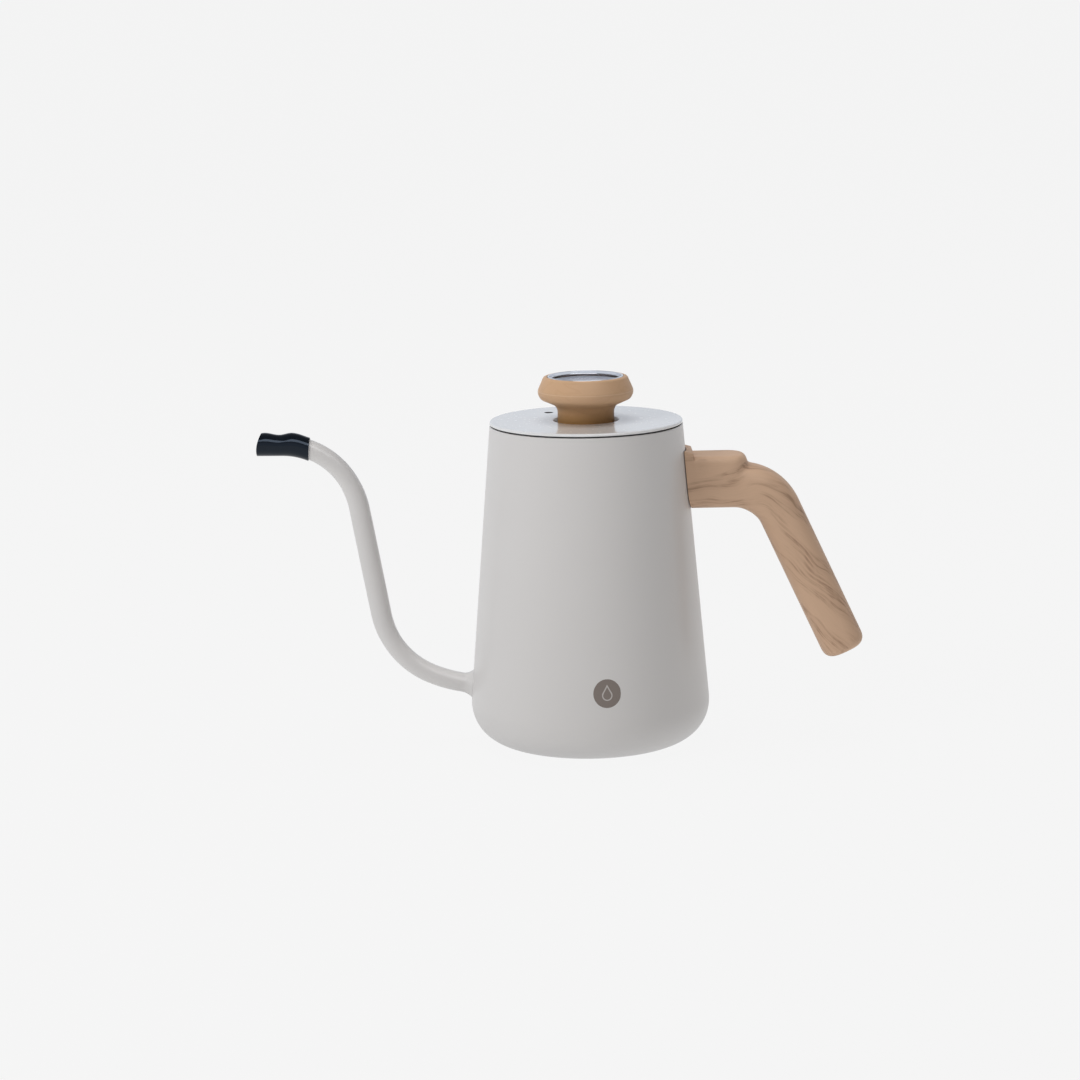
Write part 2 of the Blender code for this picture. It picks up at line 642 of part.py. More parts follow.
def make_lid():
    edge = RIM_RADIUS - LID_EDGE_INSET
    edge_low = BODY_HEIGHT + LID_SEAM
    well_under = well_floor - LID_SHEET
    inner_edge = edge - LID_HEM
    hole = BUSH_RADIUS + GAP
    profile = outline([
        (hole, well_floor, 0), (WELL_RADIUS - 1.2 * MM, well_floor, 0.8 * MM),
        (WELL_RADIUS, lid_top, 0.6 * MM), (edge, lid_top, 0.7 * MM), (edge, edge_low, 0.2 * MM),
        (inner_edge, edge_low, 0), (inner_edge, lid_under, 0),
        (WELL_RADIUS + LID_SHEET, lid_under, 0), (WELL_RADIUS - 0.5 * MM, well_under, 0),
        (hole, well_under, 0)], radians(30.0))
    lid = turned("lid_disc", profile, principled("lid_paint", (0.70, 0.70, 0.71), 0.12), LARGE)
    vent_at = (vent_from_axis * cos(VENT_ANGLE), vent_from_axis * sin(VENT_ANGLE))
    combine(lid, rod("vent", VENT_RADIUS, lid_under - MM, lid_top + MM, vent_at))

    skirt_top = lid_under - GAP
    skirt_low = skirt_top - SKIRT_HEIGHT
    skirt_inner = skirt_radius - SKIRT_SHEET
    flange_inner = skirt_radius - SKIRT_FLANGE
    flange_under = skirt_top - SKIRT_SHEET
    turned("lid_skirt", [
        (flange_inner, skirt_top), (skirt_radius, skirt_top), (skirt_radius, skirt_low),
        (skirt_inner, skirt_low), (skirt_inner, flange_under), (flange_inner, flange_under)],
        steel("skirt_steel"), LARGE)

    seal_inner = skirt_radius + GAP
    seal_outer = seal_inner + SEAL_WALL
    flange_low = BODY_HEIGHT + GAP
    seal_low = skirt_low + SEAL_SHORT
    ribs = []
    for drop in SEAL_RIB_DROPS:
        ribs += [(seal_outer, flange_low - drop + SEAL_RIB_HEIGHT / 2),
                 (seal_outer + SEAL_RIB, flange_low - drop),
                 (seal_outer, flange_low - drop - SEAL_RIB_HEIGHT / 2)]
    turned("lid_seal", [
        (seal_inner, skirt_top), (inner_edge - GAP, skirt_top), (inner_edge - GAP, flange_low),
        (seal_outer, flange_low), *ribs, (seal_outer, seal_low), (seal_inner, seal_low)],
        rubber("black_seal"), LARGE)
    return well_under


def make_knob():
    flare = neck_base + NECK_HEIGHT
    rim_inner = knob_top - 0.05 * MM
    hole = BUSH_RADIUS + GAP
    seat_radius = bush_flange_radius + GAP
    seat_low = pocket_floor - KNOB_SEAT_DEPTH
    profile = outline([
        (pocket_radius, rim_inner, 0), (pocket_radius + KNOB_RIM, knob_top, 0.2 * MM),
        (knob_radius - KNOB_TOP_INSET, knob_top - KNOB_TOP_FALL, 0.9 * MM),
        (knob_radius + KNOB_BELLY_SPARE, knob_top - KNOB_BELLY, 3.0 * MM),
        (knob_radius - KNOB_CHIN_INSET, knob_top - KNOB_CHIN, 2.2 * MM),
        (NECK_RADIUS, flare, 1.8 * MM), (NECK_RADIUS, neck_base, 0.5 * MM),
        (hole, neck_base, 0), (hole, seat_low, 0), (seat_radius, seat_low, 0),
        (seat_radius, pocket_floor, 0), (pocket_radius, pocket_floor, 0)])
    turned("knob_body", profile, principled("knob_plastic", (0.53, 0.33, 0.18), 0.5), MEDIUM)
    turned("knob_gasket", ring(hole, NECK_RADIUS - 0.5 * MM, well_floor + GAP,
                               well_floor + GAP + GASKET_THICKNESS), rubber("gasket_silicone"))


# Thermometer

def make_fixing(well_under):
    """Bush under the case and the gasket, washer and nut that clamp it below the lid."""
    flange_top = case_floor - GAP
    flange_low = flange_top - BUSH_FLANGE_THICKNESS
    gasket_high = well_under - GAP
    gasket_low = gasket_high - GASKET_THICKNESS
    washer_high = gasket_low - GAP
    washer_low = washer_high - NUT_WASHER_THICKNESS
    nut_high = washer_low - GAP
    nut_low = nut_high - NUT_HEIGHT
    bush_low = nut_low - BUSH_BELOW_NUT
    bore = STEM_RADIUS + GAP
    hole = BUSH_RADIUS + GAP
    turned("threaded_bush", [
        (bore, flange_top), (bush_flange_radius, flange_top), (bush_flange_radius, flange_low),
        (BUSH_RADIUS, flange_low), (BUSH_RADIUS, bush_low), (bore, bush_low)],
        steel("bush_steel"), MEDIUM)
    turned("nut_gasket", ring(hole, hole + NUT_GASKET_WIDTH, gasket_low, gasket_high),
           rubber("nut_silicone"))
    turned("nut_washer", ring(hole, hole + NUT_WASHER_WIDTH, washer_low, washer_high),
           steel("nut_washer_steel"))
    nut = rod("lid_nut", NUT_ACROSS_FLATS / sqrt(3), nut_low, nut_high, steps=6,
              material=steel("nut_steel"))
    edge_bevel(nut, 0.3 * MM, 1, radians(70.0))
    combine(nut, rod("nut_bore", hole, nut_low - MM, nut_high + MM, steps=MEDIUM))


def make_case():
    inner = CASE_RADIUS - CASE_WALL
    ledge = inner - CASE_LEDGE
    dial_low = dial_top - DIAL_THICKNESS
    floor = case_floor + CASE_WALL
    spindle_hole = SPINDLE_RADIUS + 2 * GAP
    profile = [
        (inner, case_top), (CASE_RADIUS, case_top), (CASE_RADIUS, case_floor),
        (spindle_hole, case_floor), (spindle_hole, floor), (ledge, floor),
        (ledge, dial_low - GAP), (inner, dial_low - GAP)]
    turned("thermometer_case", profile, steel("case_steel"), MEDIUM)
    turned("dial_plate", ring(spindle_hole, inner - GAP, dial_low, dial_top),
           principled("dial_print", (0.6, 0.6, 0.62), 0.4))

    glass_radius = inner - GAP
    glass_high = case_top - GLASS_SUNK
    glass_low = glass_high - GLASS_THICKNESS
    turned("glass_lens", outline([
        (0.0, glass_high, 0), (glass_radius, glass_high, 0.15 * MM), (glass_radius, glass_low, 0),
        (0.0, glass_low, 0)], radians(45.0)),
        principled("clear_glass", (0.95, 0.97, 1.0), 0.02, transmission=1.0), MEDIUM, closed=False)
    gasket_high = glass_low - GAP
    turned("lens_gasket", ring(glass_radius - LENS_GASKET_WIDTH, glass_radius,
                               gasket_high - LENS_GASKET_THICKNESS, gasket_high),
           rubber("lens_silicone"))
    bezel_low = case_top + GAP
    bezel_high = knob_top - GAP / 2
    turned("bezel_ring", outline([
        (CASE_RADIUS - BEZEL_TOP_WIDTH, bezel_high, 0.15 * MM),
        (CASE_RADIUS, bezel_high, 0.2 * MM), (CASE_RADIUS, bezel_low, 0),
        (CASE_RADIUS - BEZEL_LIP, bezel_low, 0)], radians(45.0)),
        principled("chrome", (0.8, 0.8, 0.82), 0.06, 1.0), MEDIUM)


def make_probe():
    """Stem, bimetal coil and spindle, hanging from the case down the kettle's axis."""
    stem_top = case_floor - GAP
    stem_low = BODY_HEIGHT - STEM_REACH
    bore = STEM_RADIUS - STEM_WALL
    profile = outline([
        (0.0, stem_low + STEM_WALL, 0), (bore, stem_low + STEM_WALL, 0), (bore, stem_top, 0),
        (STEM_RADIUS, stem_top, 0), (STEM_RADIUS, stem_low, 0.9 * MM), (0.0, stem_low, 0)],
        radians(45.0))
    turned("stem_tube", profile, steel("stem_steel"), SMALL, closed=False)

    coil_low = stem_low + STEM_WALL + 2 * GAP
    per_turn = 10
    steps = COIL_TURNS * per_turn
    line = [(COIL_RADIUS * cos(2 * pi * k / per_turn), COIL_RADIUS * sin(2 * pi * k / per_turn),
             coil_low + COIL_LENGTH * k / steps) for k in range(steps + 1)]
    swept("bimetal_coil", line, [COIL_WIRE] * len(line),
          principled("bimetal", (0.7, 0.45, 0.25), 0.35, 1.0))

    rod("pointer_spindle", SPINDLE_RADIUS, coil_low + COIL_LENGTH + 2 * GAP,
        dial_top + SPINDLE_ABOVE_DIAL, steps=12, material=steel("spindle_steel"))
    high, low = BUSHING_DROPS
    turned("spindle_bushing", ring(SPINDLE_RADIUS + GAP, bore - GAP, case_floor - low,
                                   case_floor - high),
           principled("brass_bushing", (0.78, 0.57, 0.25), 0.3, 1.0), SMALL)


def make_pointer():
    """Flat needle with a hub, turned to room temperature; its origin is on its joint's axis."""
    tip = POINTER_TIP_WIDTH / 2
    tail = POINTER_TAIL_WIDTH / 2
    flat = bpy.data.curves.new("needle_outline", "CURVE")
    flat.dimensions = "2D"
    flat.fill_mode = "BOTH"
    flat.extrude = POINTER_THICKNESS / 2
    spline = flat.splines.new("POLY")
    spline.points.add(3)
    spline.use_cyclic_u = True
    corners = ((POINTER_LENGTH, tip), (-POINTER_TAIL, tail), (-POINTER_TAIL, -tail),
               (POINTER_LENGTH, -tip))
    for point, (x, y) in zip(spline.points, corners):
        point.co = (x, y, 0.0, 1.0)
    needle = meshed(place(bpy.data.objects.new("pointer", flat), None))
    needle.data.materials.append(principled("pointer_paint", (0.7, 0.05, 0.03), 0.4))
    hub = rod("pointer_hub", HUB_RADIUS, -POINTER_THICKNESS / 2, HUB_TOP)
    bore = rod("hub_bore", SPINDLE_RADIUS + GAP, -MM, HUB_TOP + MM, steps=12)
    combine(needle, hub, "UNION")
    combine(needle, bore)
    for obj in (needle, hub, bore):
        obj.location.z = dial_top + POINTER_ABOVE_DIAL
        obj.rotation_euler.z = POINTER_ANGLE


body = make_body()
make_spout(body)
make_handle()
under_well = make_lid()
make_knob()
make_fixing(under_well)
make_case()
make_probe()
make_pointer()
for part in kettle.objects:
    smooth(part)
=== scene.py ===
"""Gooseneck kettle with a thermometer in its lid knob, put together piece by piece.

Metres, +Z up. The base stands on the table at the origin, the spout points to -X, the handle to +X.
"""

import bmesh
import bpy
from math import atan2, ceil, cos, pi, radians, sin, sqrt, tan
from mathutils import Matrix, Vector


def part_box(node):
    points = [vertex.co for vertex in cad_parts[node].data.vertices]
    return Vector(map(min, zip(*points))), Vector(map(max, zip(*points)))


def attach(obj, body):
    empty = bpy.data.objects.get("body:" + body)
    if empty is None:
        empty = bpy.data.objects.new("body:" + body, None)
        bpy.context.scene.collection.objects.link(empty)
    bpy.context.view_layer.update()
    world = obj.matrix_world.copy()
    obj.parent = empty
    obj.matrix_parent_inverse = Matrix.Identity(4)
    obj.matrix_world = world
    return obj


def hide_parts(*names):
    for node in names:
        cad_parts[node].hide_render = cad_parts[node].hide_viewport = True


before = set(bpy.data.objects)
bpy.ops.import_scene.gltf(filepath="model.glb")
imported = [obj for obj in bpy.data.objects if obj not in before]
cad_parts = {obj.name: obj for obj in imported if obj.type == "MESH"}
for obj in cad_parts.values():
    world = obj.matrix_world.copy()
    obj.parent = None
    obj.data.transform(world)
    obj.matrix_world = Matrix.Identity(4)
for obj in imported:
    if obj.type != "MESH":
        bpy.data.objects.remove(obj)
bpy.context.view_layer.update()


# Body shell. One wall of 0.8 mm stainless steel, drawn deep and tapered, its rim turned in to seat
# the lid and its bottom corner left full. It is sprayed with a satin powder coat the colour of
# bone china, cured to a very fine orange peel.

MM = 0.001
SIDE_FOOT = 51.514  # radius where the straight side would meet the table
SIDE_SLOPE = 0.085435  # fall in radius for each unit of height
BASE_CORNER = 17.0  # radius of the full bottom corner
BASE_RING = 33.0  # radius of the ring that this corner is struck from
COAT_REACH = (0.35, 0.45)  # depth into the wall over which the coat gives way to bare steel


def let_go():
    """Leaves edit mode and clears the selection."""
    if bpy.context.mode != "OBJECT":
        bpy.ops.object.mode_set(mode="OBJECT")
    bpy.ops.object.select_all(action="DESELECT")


def pick(piece):
    let_go()
    piece.select_set(True)
    bpy.context.view_layer.objects.active = piece


def pick_points(piece, wanted):
    """In edit mode, selects the vertices for which wanted(co) holds."""
    bpy.ops.mesh.select_mode(type="VERT")
    bpy.ops.mesh.select_all(action="DESELECT")
    shape = bmesh.from_edit_mesh(piece.data)
    for vert in shape.verts:
        vert.select_set(wanted(vert.co))
    shape.select_flush(True)
    bmesh.update_edit_mesh(piece.data)


def start_wire(name, x, z):
    """A mesh of one vertex at (x, z), in edit mode, ready to be extruded."""
    let_go()
    bpy.ops.mesh.primitive_plane_add(size=MM)
    piece = bpy.context.object
    piece.name = name
    bpy.ops.object.mode_set(mode="EDIT")
    bpy.ops.mesh.merge(type="CENTER")
    bpy.ops.transform.translate(value=(x * MM, 0, z * MM))
    return piece


def round_corner(piece, before, corner, after, segments):
    """Rounds one corner (x, z, radius) of a wire by a vertex bevel."""
    at = Vector(corner[:2])
    one = (Vector(before[:2]) - at).normalized()
    two = (Vector(after[:2]) - at).normalized()
    reach = corner[2] / tan(one.angle(two) / 2)
    place = Vector((at.x, 0, at.y)) * MM
    pick_points(piece, lambda co: (co - place).length < 1e-6)
    bpy.ops.mesh.bevel(offset=reach * MM, segments=segments, profile=0.5, affect="VERTICES",
                       clamp_overlap=False)


def turn_up(name, corners, steps=128, segments=6, sharp=30):
    """Spins an outline of corners (x, z, radius), in millimetres, about the kettle's axis.

    An outline that starts and ends on the axis is solid there; any other is closed into a ring.
    """
    piece = start_wire(name, *corners[0][:2])
    ring = corners[0][0] > 0 or corners[-1][0] > 0
    route = corners + corners[:1] if ring else corners
    for a, b in zip(route, route[1:]):
        bpy.ops.mesh.extrude_vertices_move(
            TRANSFORM_OT_translate={"value": ((b[0] - a[0]) * MM, 0, (b[1] - a[1]) * MM)})
    bpy.ops.mesh.select_all(action="SELECT")
    bpy.ops.mesh.remove_doubles(threshold=1e-7)
    for i, corner in enumerate(corners):
        if corner[2]:
            round_corner(piece, corners[i - 1], corner, corners[(i + 1) % len(corners)],
                         max(segments, ceil(corner[2] * 1.5)))
    bpy.ops.mesh.select_all(action="SELECT")
    bpy.ops.mesh.spin(steps=steps, angle=2 * pi, center=(0, 0, 0), axis=(0, 0, 1))
    return close_up(piece, sharp)


def close_up(piece, sharp=30):
    """Welds the piece's seams, turns its faces out and shades it smooth up to an angle."""
    if bpy.context.mode != "EDIT_MESH":
        pick(piece)
        bpy.ops.object.mode_set(mode="EDIT")
    bpy.ops.mesh.select_all(action="SELECT")
    bpy.ops.mesh.remove_doubles(threshold=2e-6)
    bpy.ops.mesh.dissolve_degenerate(threshold=1e-7)
    bpy.ops.mesh.select_all(action="SELECT")
    bpy.ops.mesh.normals_make_consistent(inside=False)
    bpy.ops.object.mode_set(mode="OBJECT")
    bpy.ops.object.shade_smooth_by_angle(angle=radians(sharp))
    return piece


def apply_all(piece):
    pick(piece)
    for modifier in list(piece.modifiers):
        bpy.ops.object.modifier_apply(modifier=modifier.name)


def carve(piece, tool, operation="DIFFERENCE"):
    """Cuts, joins or keeps a piece with a tool shape, which is then thrown away."""
    boolean = piece.modifiers.new(operation.lower(), "BOOLEAN")
    boolean.operation = operation
    boolean.solver = "EXACT"
    boolean.object = tool
    apply_all(piece)
    bpy.data.objects.remove(tool)


class Lead:
    """One output inside a finish; arithmetic on it adds Math nodes."""

    def __init__(self, tree, socket=None):
        self.tree = tree
        self.socket = socket

    def put(self, kind, settings=None, inputs=None, outlet=0):
        """Any node: its settings first, then the values or leads of its sockets."""
        node = self.tree.nodes.new("ShaderNode" + kind)
        for name, value in (settings or {}).items():
            setattr(node, name, value)
        for key, value in (inputs or {}).items():
            if isinstance(value, Lead):
                self.tree.links.new(value.socket, node.inputs[key])
            else:
                node.inputs[key].default_value = value
        return Lead(self.tree, node.outputs[outlet])

    def math(self, operation, *others):
        """A Math node on this value, and on others where the operation takes them."""
        return self.put("Math", {"operation": operation}, dict(enumerate((self, *others))))

    def __add__(self, other):
        return self.math("ADD", other)

    __radd__ = __add__

    def __sub__(self, other):
        return self.math("SUBTRACT", other)

    def __rsub__(self, other):
        return self.put("Math", {"operation": "SUBTRACT"}, {0: other, 1: self})

    def __mul__(self, other):
        return self.math("MULTIPLY", other)

    __rmul__ = __mul__

    def step(self, low, high):
        """0 up to low, 1 from high, smooth between."""
        return self.put("MapRange", {"interpolation_type": "SMOOTHSTEP"},
                        {"Value": self, "From Min": low, "From Max": high})

    def noise(self, scale, detail=2.0, rough=0.5, twist=0.0):
        """Noise over this place, in cycles a metre."""
        return self.put("TexNoise", {}, {"Vector": self, "Scale": scale, "Detail": detail,
                                         "Roughness": rough, "Distortion": twist})

    def stretch(self, x, y, z):
        """This place with its axes scaled, as for a pattern drawn out along one of them."""
        return self.put("Mapping", {}, {"Vector": self, "Scale": (x, y, z)})

    def split(self, axis):
        return self.put("SeparateXYZ", {}, {"Vector": self}, axis)

    def tint(self, plain, marked):
        """Colour that goes from plain to marked as this value goes from 0 to 1."""
        plain, marked = (c if isinstance(c, Lead) else (*c, 1.0) for c in (plain, marked))
        return self.put("Mix", {"data_type": "RGBA"}, {0: self, 6: plain, 7: marked}, 2)

    def bump(self, depth, strength=1.0):
        return self.put("Bump", {}, {"Height": self, "Distance": depth, "Strength": strength},
                        "Normal")

    def feed(self, shader, socket):
        self.tree.links.new(self.socket, shader.inputs[socket])


def new_finish(name, uniform):
    """A material, its shader with the sockets that are the same all over, and its place lead."""
    material = bpy.data.materials.new(name)
    material.use_nodes = True
    shader = material.node_tree.nodes["Principled BSDF"]
    for socket, value in uniform.items():
        shader.inputs[socket].default_value = value
    here = Lead(material.node_tree).put("TexCoord", outlet="Object")
    return material, shader, here


def wear(piece, material):
    piece.data.materials.clear()
    piece.data.materials.append(material)


def belongs(piece, body, slot, *nodes):
    """The piece moves with a body and stands for CAD nodes; slot is not used."""
    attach(piece, body)
    if nodes:
        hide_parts(*nodes)


shell = turn_up("painted_body_shell", [
    (0.0, 2.0, 0), (50.54, 2.0, 16.2), (39.33, 133.25, 0.3), (37.0, 133.25, 0.3),
    (37.0, 134.07, 0.3), (40.06, 134.07, 0.5), (SIDE_FOOT, 0.0, BASE_CORNER), (31.3, 0.0, 0.3),
    (31.3, 1.2, 0), (0.0, 1.2, 0)], steps=160, segments=5)

bone_paint, shader, here = new_finish("bone_powder_coat", {
    "Specular IOR Level": 0.5, "Coat Weight": 0.35, "Coat Roughness": 0.22, "Coat IOR": 1.5})
paint = here.noise(22.0, 3.0).tint((0.655, 0.640, 0.632), (0.685, 0.672, 0.665))
speck = here.noise(3200.0, 2.0)
x = here.split("X")
y = here.split("Y")
z = here.split("Z")
radius = (x * x + y * y).math("SQRT")
depth = SIDE_FOOT * MM - SIDE_SLOPE * z - radius
# the rounded bottom corner falls away from the straight wall's line too, but keeps its coat
arc_out = (radius - BASE_RING * MM).math("MAXIMUM", 0.0)
arc_down = (BASE_CORNER * MM - z).math("MAXIMUM", 0.0)
arc = (arc_out * arc_out + arc_down * arc_down).math("SQRT")
corner_coat = arc.step((BASE_CORNER - 0.5) * MM, (BASE_CORNER - 0.3) * MM)
bare_steel_and_vent_shade = depth.step(COAT_REACH[0] * MM, COAT_REACH[1] * MM) * (1.0 - corner_coat)
drawn = here.stretch(1.0, 1.0, 12.0).noise(260.0, 3.0, 0.6)
bare_steel_and_vent_shade.tint(paint, drawn.tint((0.50, 0.49, 0.47), (0.60, 0.59, 0.57))).feed(shader, "Base Color")
bare_steel_and_vent_shade.feed(shader, "Metallic")
(0.36 + 0.08 * here.noise(160.0, 3.0) + 0.05 * speck - 0.06 * bare_steel_and_vent_shade).feed(shader, "Roughness")
(here.noise(1500.0, 1.0) + 0.4 * speck).bump(0.000012, 0.5).feed(shader, "Normal")
wear(shell, bone_paint)
belongs(shell, "kettle", "body_paint", "body_shell")


# Emblem. A small round mark printed on the coat low on the front, in warm grey ink with a water
# drop left open as a fine line.

EMBLEM_TURN = radians(7.11)  # round the body from the front, towards the handle
EMBLEM_HEIGHT = 30.83
EMBLEM_RADIUS = 5.9

let_go()
emblem_wall = SIDE_FOOT - EMBLEM_HEIGHT * SIDE_SLOPE
bpy.ops.mesh.primitive_circle_add(vertices=96, radius=EMBLEM_RADIUS * MM, fill_type="NGON",
                                  rotation=(pi / 2, 0, 0),
                                  location=(0, -(emblem_wall + 2.0) * MM, EMBLEM_HEIGHT * MM))
emblem = bpy.context.object
emblem.name = "printed_emblem"
bpy.ops.object.transform_apply()
bpy.ops.object.mode_set(mode="EDIT")
for _ in range(11):
    bpy.ops.mesh.inset(thickness=0.5 * MM, use_boundary=True)
bpy.ops.mesh.merge(type="CENTER")
bpy.ops.object.mode_set(mode="OBJECT")
emblem.data.transform(Matrix.Rotation(EMBLEM_TURN, 4, "Z"))
wrap = emblem.modifiers.new("lay on the wall", "SHRINKWRAP")
wrap.target = shell
wrap.wrap_method = "NEAREST_SURFACEPOINT"
wrap.wrap_mode = "ABOVE_SURFACE"
wrap.offset = 0.03 * MM
apply_all(emblem)
bpy.ops.object.shade_smooth()

ink, shader, here = new_finish("emblem_ink", {})
across = here.put("Mapping", {}, {
    "Vector": here, "Rotation": (0, 0, -EMBLEM_TURN),
    "Location": (0, 0, -EMBLEM_HEIGHT * MM)})
side = across.split("X") * 1000.0
rise = across.split("Z") * 1000.0
# drop: a round foot whose sides draw in to a point above it
round_foot = (side * side + (rise + 1.0) * (rise + 1.0)).math("SQRT") - 1.9
cone = (0.88 * side.math("ABSOLUTE") + 0.475 * (rise - 3.0)).math("MAXIMUM", -0.1 - rise)
line = 1.0 - round_foot.math("SMOOTH_MIN", cone, 0.4).math("ABSOLUTE").step(0.16, 0.30)
line.tint((0.213, 0.178, 0.158), (0.52, 0.49, 0.47)).feed(shader, "Base Color")
(0.38 + 0.08 * here.noise(900.0)).feed(shader, "Roughness")
wear(emblem, ink)
belongs(emblem, "kettle", "dial_print")


# Base plate. A round of brushed steel let into the underside, spun on a lathe so that its grain
# runs in rings.

base = turn_up("brushed_base_plate", [
    (0.0, 0.9, 0), (31.0, 0.9, 0.2), (31.0, 0.0, 0.3), (23.0, 0.0, 0.3), (22.6, 0.25, 0.2),
    (0.0, 0.25, 0)], steps=128)


def brushed(name, colour, rough, scale=900.0):
    """Steel with a turned grain: fine rings at one radius or height, broken along their length."""
    material, shader, here = new_finish(name, {"Metallic": 1.0})
    x = here.split("X")
    y = here.split("Y")
    radius = (x * x + y * y).math("SQRT")
    rings = here.put("CombineXYZ", {}, {"X": radius, "Z": here.split("Z")})
    grain = rings.noise(scale * 6, 2.0, 0.6)
    patch = here.noise(60.0, 3.0)
    dark = tuple(c * 0.82 for c in colour)
    (0.6 * grain + 0.4 * patch).tint(dark, colour).feed(shader, "Base Color")
    (rough - 0.06 + 0.16 * grain + 0.06 * patch).feed(shader, "Roughness")
    grain.bump(0.000008, 0.35).feed(shader, "Normal")
    return material


wear(base, brushed("ringed_base_steel", (0.64, 0.63, 0.61), 0.32))
belongs(base, "kettle", "brushed_steel", "base_plate")


# Spout. A stainless tube of 8.6 mm, bent on two low and two high dies into a gooseneck and welded
# to the body low down; the foot is blended out and the coat runs over the weld.

SPOUT_ROOT = (-(SIDE_FOOT - 24.4 * SIDE_SLOPE), 24.4)
FOOT_FLARE = 1.8
ROOT_DEPTH = 1.2  # the tube starts this far inside the wall
TIP_BEND = 31.5
TIP_STRAIGHT = 8.8


def spout_size(distance):
    """Outer radius of the tube at a distance from the wall; the bends draw it in a little."""
    spread = min(1.0, abs(distance - 75.31) / 34.4)
    foot = min(1.0, max(0.0, 1.0 - distance / (2.4 * FOOT_FLARE)))
    return 4.05 + 0.25 * (1.0 - spread ** 4) + FOOT_FLARE * foot ** 2


class Bender:
    """A ring of vertices led along a path in the XZ plane by extrusions and spins."""

    def __init__(self, at, heading, size):
        self.x, self.z = at
        self.heading = heading
        self.size = size
        self.gone = 0.0
        self.last = size(0.0)
        self.anchor = 0.0  # resizes hold the point this far under the centre line

    def resize(self):
        new = self.size(self.gone)
        factor = new / self.last
        if abs(factor - 1.0) > 1e-5:
            held = ((self.x - self.anchor * sin(self.heading)) * MM, 0,
                    (self.z - self.anchor * cos(self.heading)) * MM)
            bpy.ops.transform.resize(value=(factor,) * 3, center_override=held)
        self.last = new

    def straight(self, length, steps):
        for _ in range(steps):
            dx = -cos(self.heading) * length / steps
            dz = sin(self.heading) * length / steps
            bpy.ops.mesh.extrude_region_move(
                TRANSFORM_OT_translate={"value": (dx * MM, 0, dz * MM)})
            self.x += dx
            self.z += dz
            self.gone += length / steps
            self.resize()

    def bend(self, radius, turn, steps):
        """Bends up for a positive turn, down for a negative one."""
        side = 1 if turn > 0 else -1
        for _ in range(steps):
            cx = self.x + side * radius * sin(self.heading)
            cz = self.z + side * radius * cos(self.heading)
            bpy.ops.mesh.spin(steps=1, angle=-turn / steps, center=(cx * MM, 0, cz * MM),
                              axis=(0, 1, 0))
            self.heading += turn / steps
            self.x = cx - side * radius * sin(self.heading)
            self.z = cz - side * radius * cos(self.heading)
            self.gone += radius * abs(turn) / steps
            self.resize()


def start_ring(name, at, heading, radius, vertices=56):
    """A ring square to the heading, in edit mode, with its object at the origin."""
    let_go()
    bpy.ops.mesh.primitive_circle_add(vertices=vertices, radius=radius * MM,
                                      rotation=(0, heading - pi / 2, 0),
                                      location=(at[0] * MM, 0, at[1] * MM))
    piece = bpy.context.object
    piece.name = name
    bpy.ops.object.transform_apply()
    bpy.ops.object.mode_set(mode="EDIT")
    bpy.ops.mesh.select_all(action="SELECT")
    return piece


rise = radians(5.3)
root = (SPOUT_ROOT[0] + ROOT_DEPTH * cos(rise), SPOUT_ROOT[1] - ROOT_DEPTH * sin(rise))
spout = start_ring("painted_gooseneck", root, rise, spout_size(0.0))
tube = Bender(root, rise, lambda gone: spout_size(max(0.0, gone - ROOT_DEPTH)))
tube.straight(ROOT_DEPTH, 1)
tube.bend(55.0, radians(4.6), 12)
tube.bend(55.0, radians(14.5), 6)
tube.bend(35.0, radians(55.7), 20)
tube.straight(45.5, 16)
tube.bend(37.0, radians(-18.2), 8)
tube.bend(TIP_BEND, radians(-61.1), 22)
tube.straight(TIP_STRAIGHT, 4)
spout_end = (tube.x, tube.z, tube.heading)
bpy.ops.object.mode_set(mode="OBJECT")
wall = spout.modifiers.new("tube wall", "SOLIDIFY")
wall.thickness = 0.7 * MM
wall.offset = -1.0
pick(spout)
bpy.ops.object.mode_set(mode="EDIT")
bpy.ops.mesh.select_all(action="SELECT")
bpy.ops.mesh.normals_make_consistent(inside=False)
bpy.ops.object.mode_set(mode="OBJECT")
apply_all(spout)
close_up(spout, 40)
wear(spout, bone_paint)
belongs(spout, "kettle", "body_paint", "spout_tube")

bore = start_ring("spout_port", (SPOUT_ROOT[0] + 6.0, SPOUT_ROOT[1] - 0.5), rise, 3.35, 48)
bpy.ops.mesh.edge_face_add()
bpy.ops.mesh.extrude_region_move(TRANSFORM_OT_translate={"value": (-8.0 * MM, 0, 0.7 * MM)})
close_up(bore)
carve(shell, bore)
close_up(shell)


# Spout sleeve. A soft black silicone mouth pushed over the tube's end, cast glossy, pinched to a
# waist where it grips the tube, its mouth trimmed to a shallow bow that pours cleanly.

SLEEVE_LENGTH = 21.8  # along the tube, from the back edge to the mouth
SLEEVE_WALL = 0.5
SLEEVE_PAST = 1.2  # the sleeve runs this far past the tube's end
SLEEVE_SPARE = 2.5  # swept behind the back edge and then cut off
SLEEVE_BACK = (-115.1, 125.5)  # a point on the back edge's plane
SLEEVE_FIGURE = (  # share of the length, outer radius
    (0.0, 4.62), (0.08, 4.68), (0.36, 4.95), (0.60, 4.42), (0.88, 4.86), (1.0, 4.70))
MOUTH_CURVE = 16.0  # radius of the mouth's bowed edge, seen from the side
MOUTH_CENTRE = (-120.75, 124.9)


def sleeve_size(gone):
    """Outer radius along the sleeve: a swell, a pinched waist and a fuller mouth."""
    share = max(0.0, min(0.999, gone / SLEEVE_LENGTH))
    for (low, a), (high, b) in zip(SLEEVE_FIGURE, SLEEVE_FIGURE[1:]):
        if share < high:
            ease = (1.0 - cos(pi * (share - low) / (high - low))) / 2
            return a + (b - a) * ease
    return SLEEVE_FIGURE[-1][1]


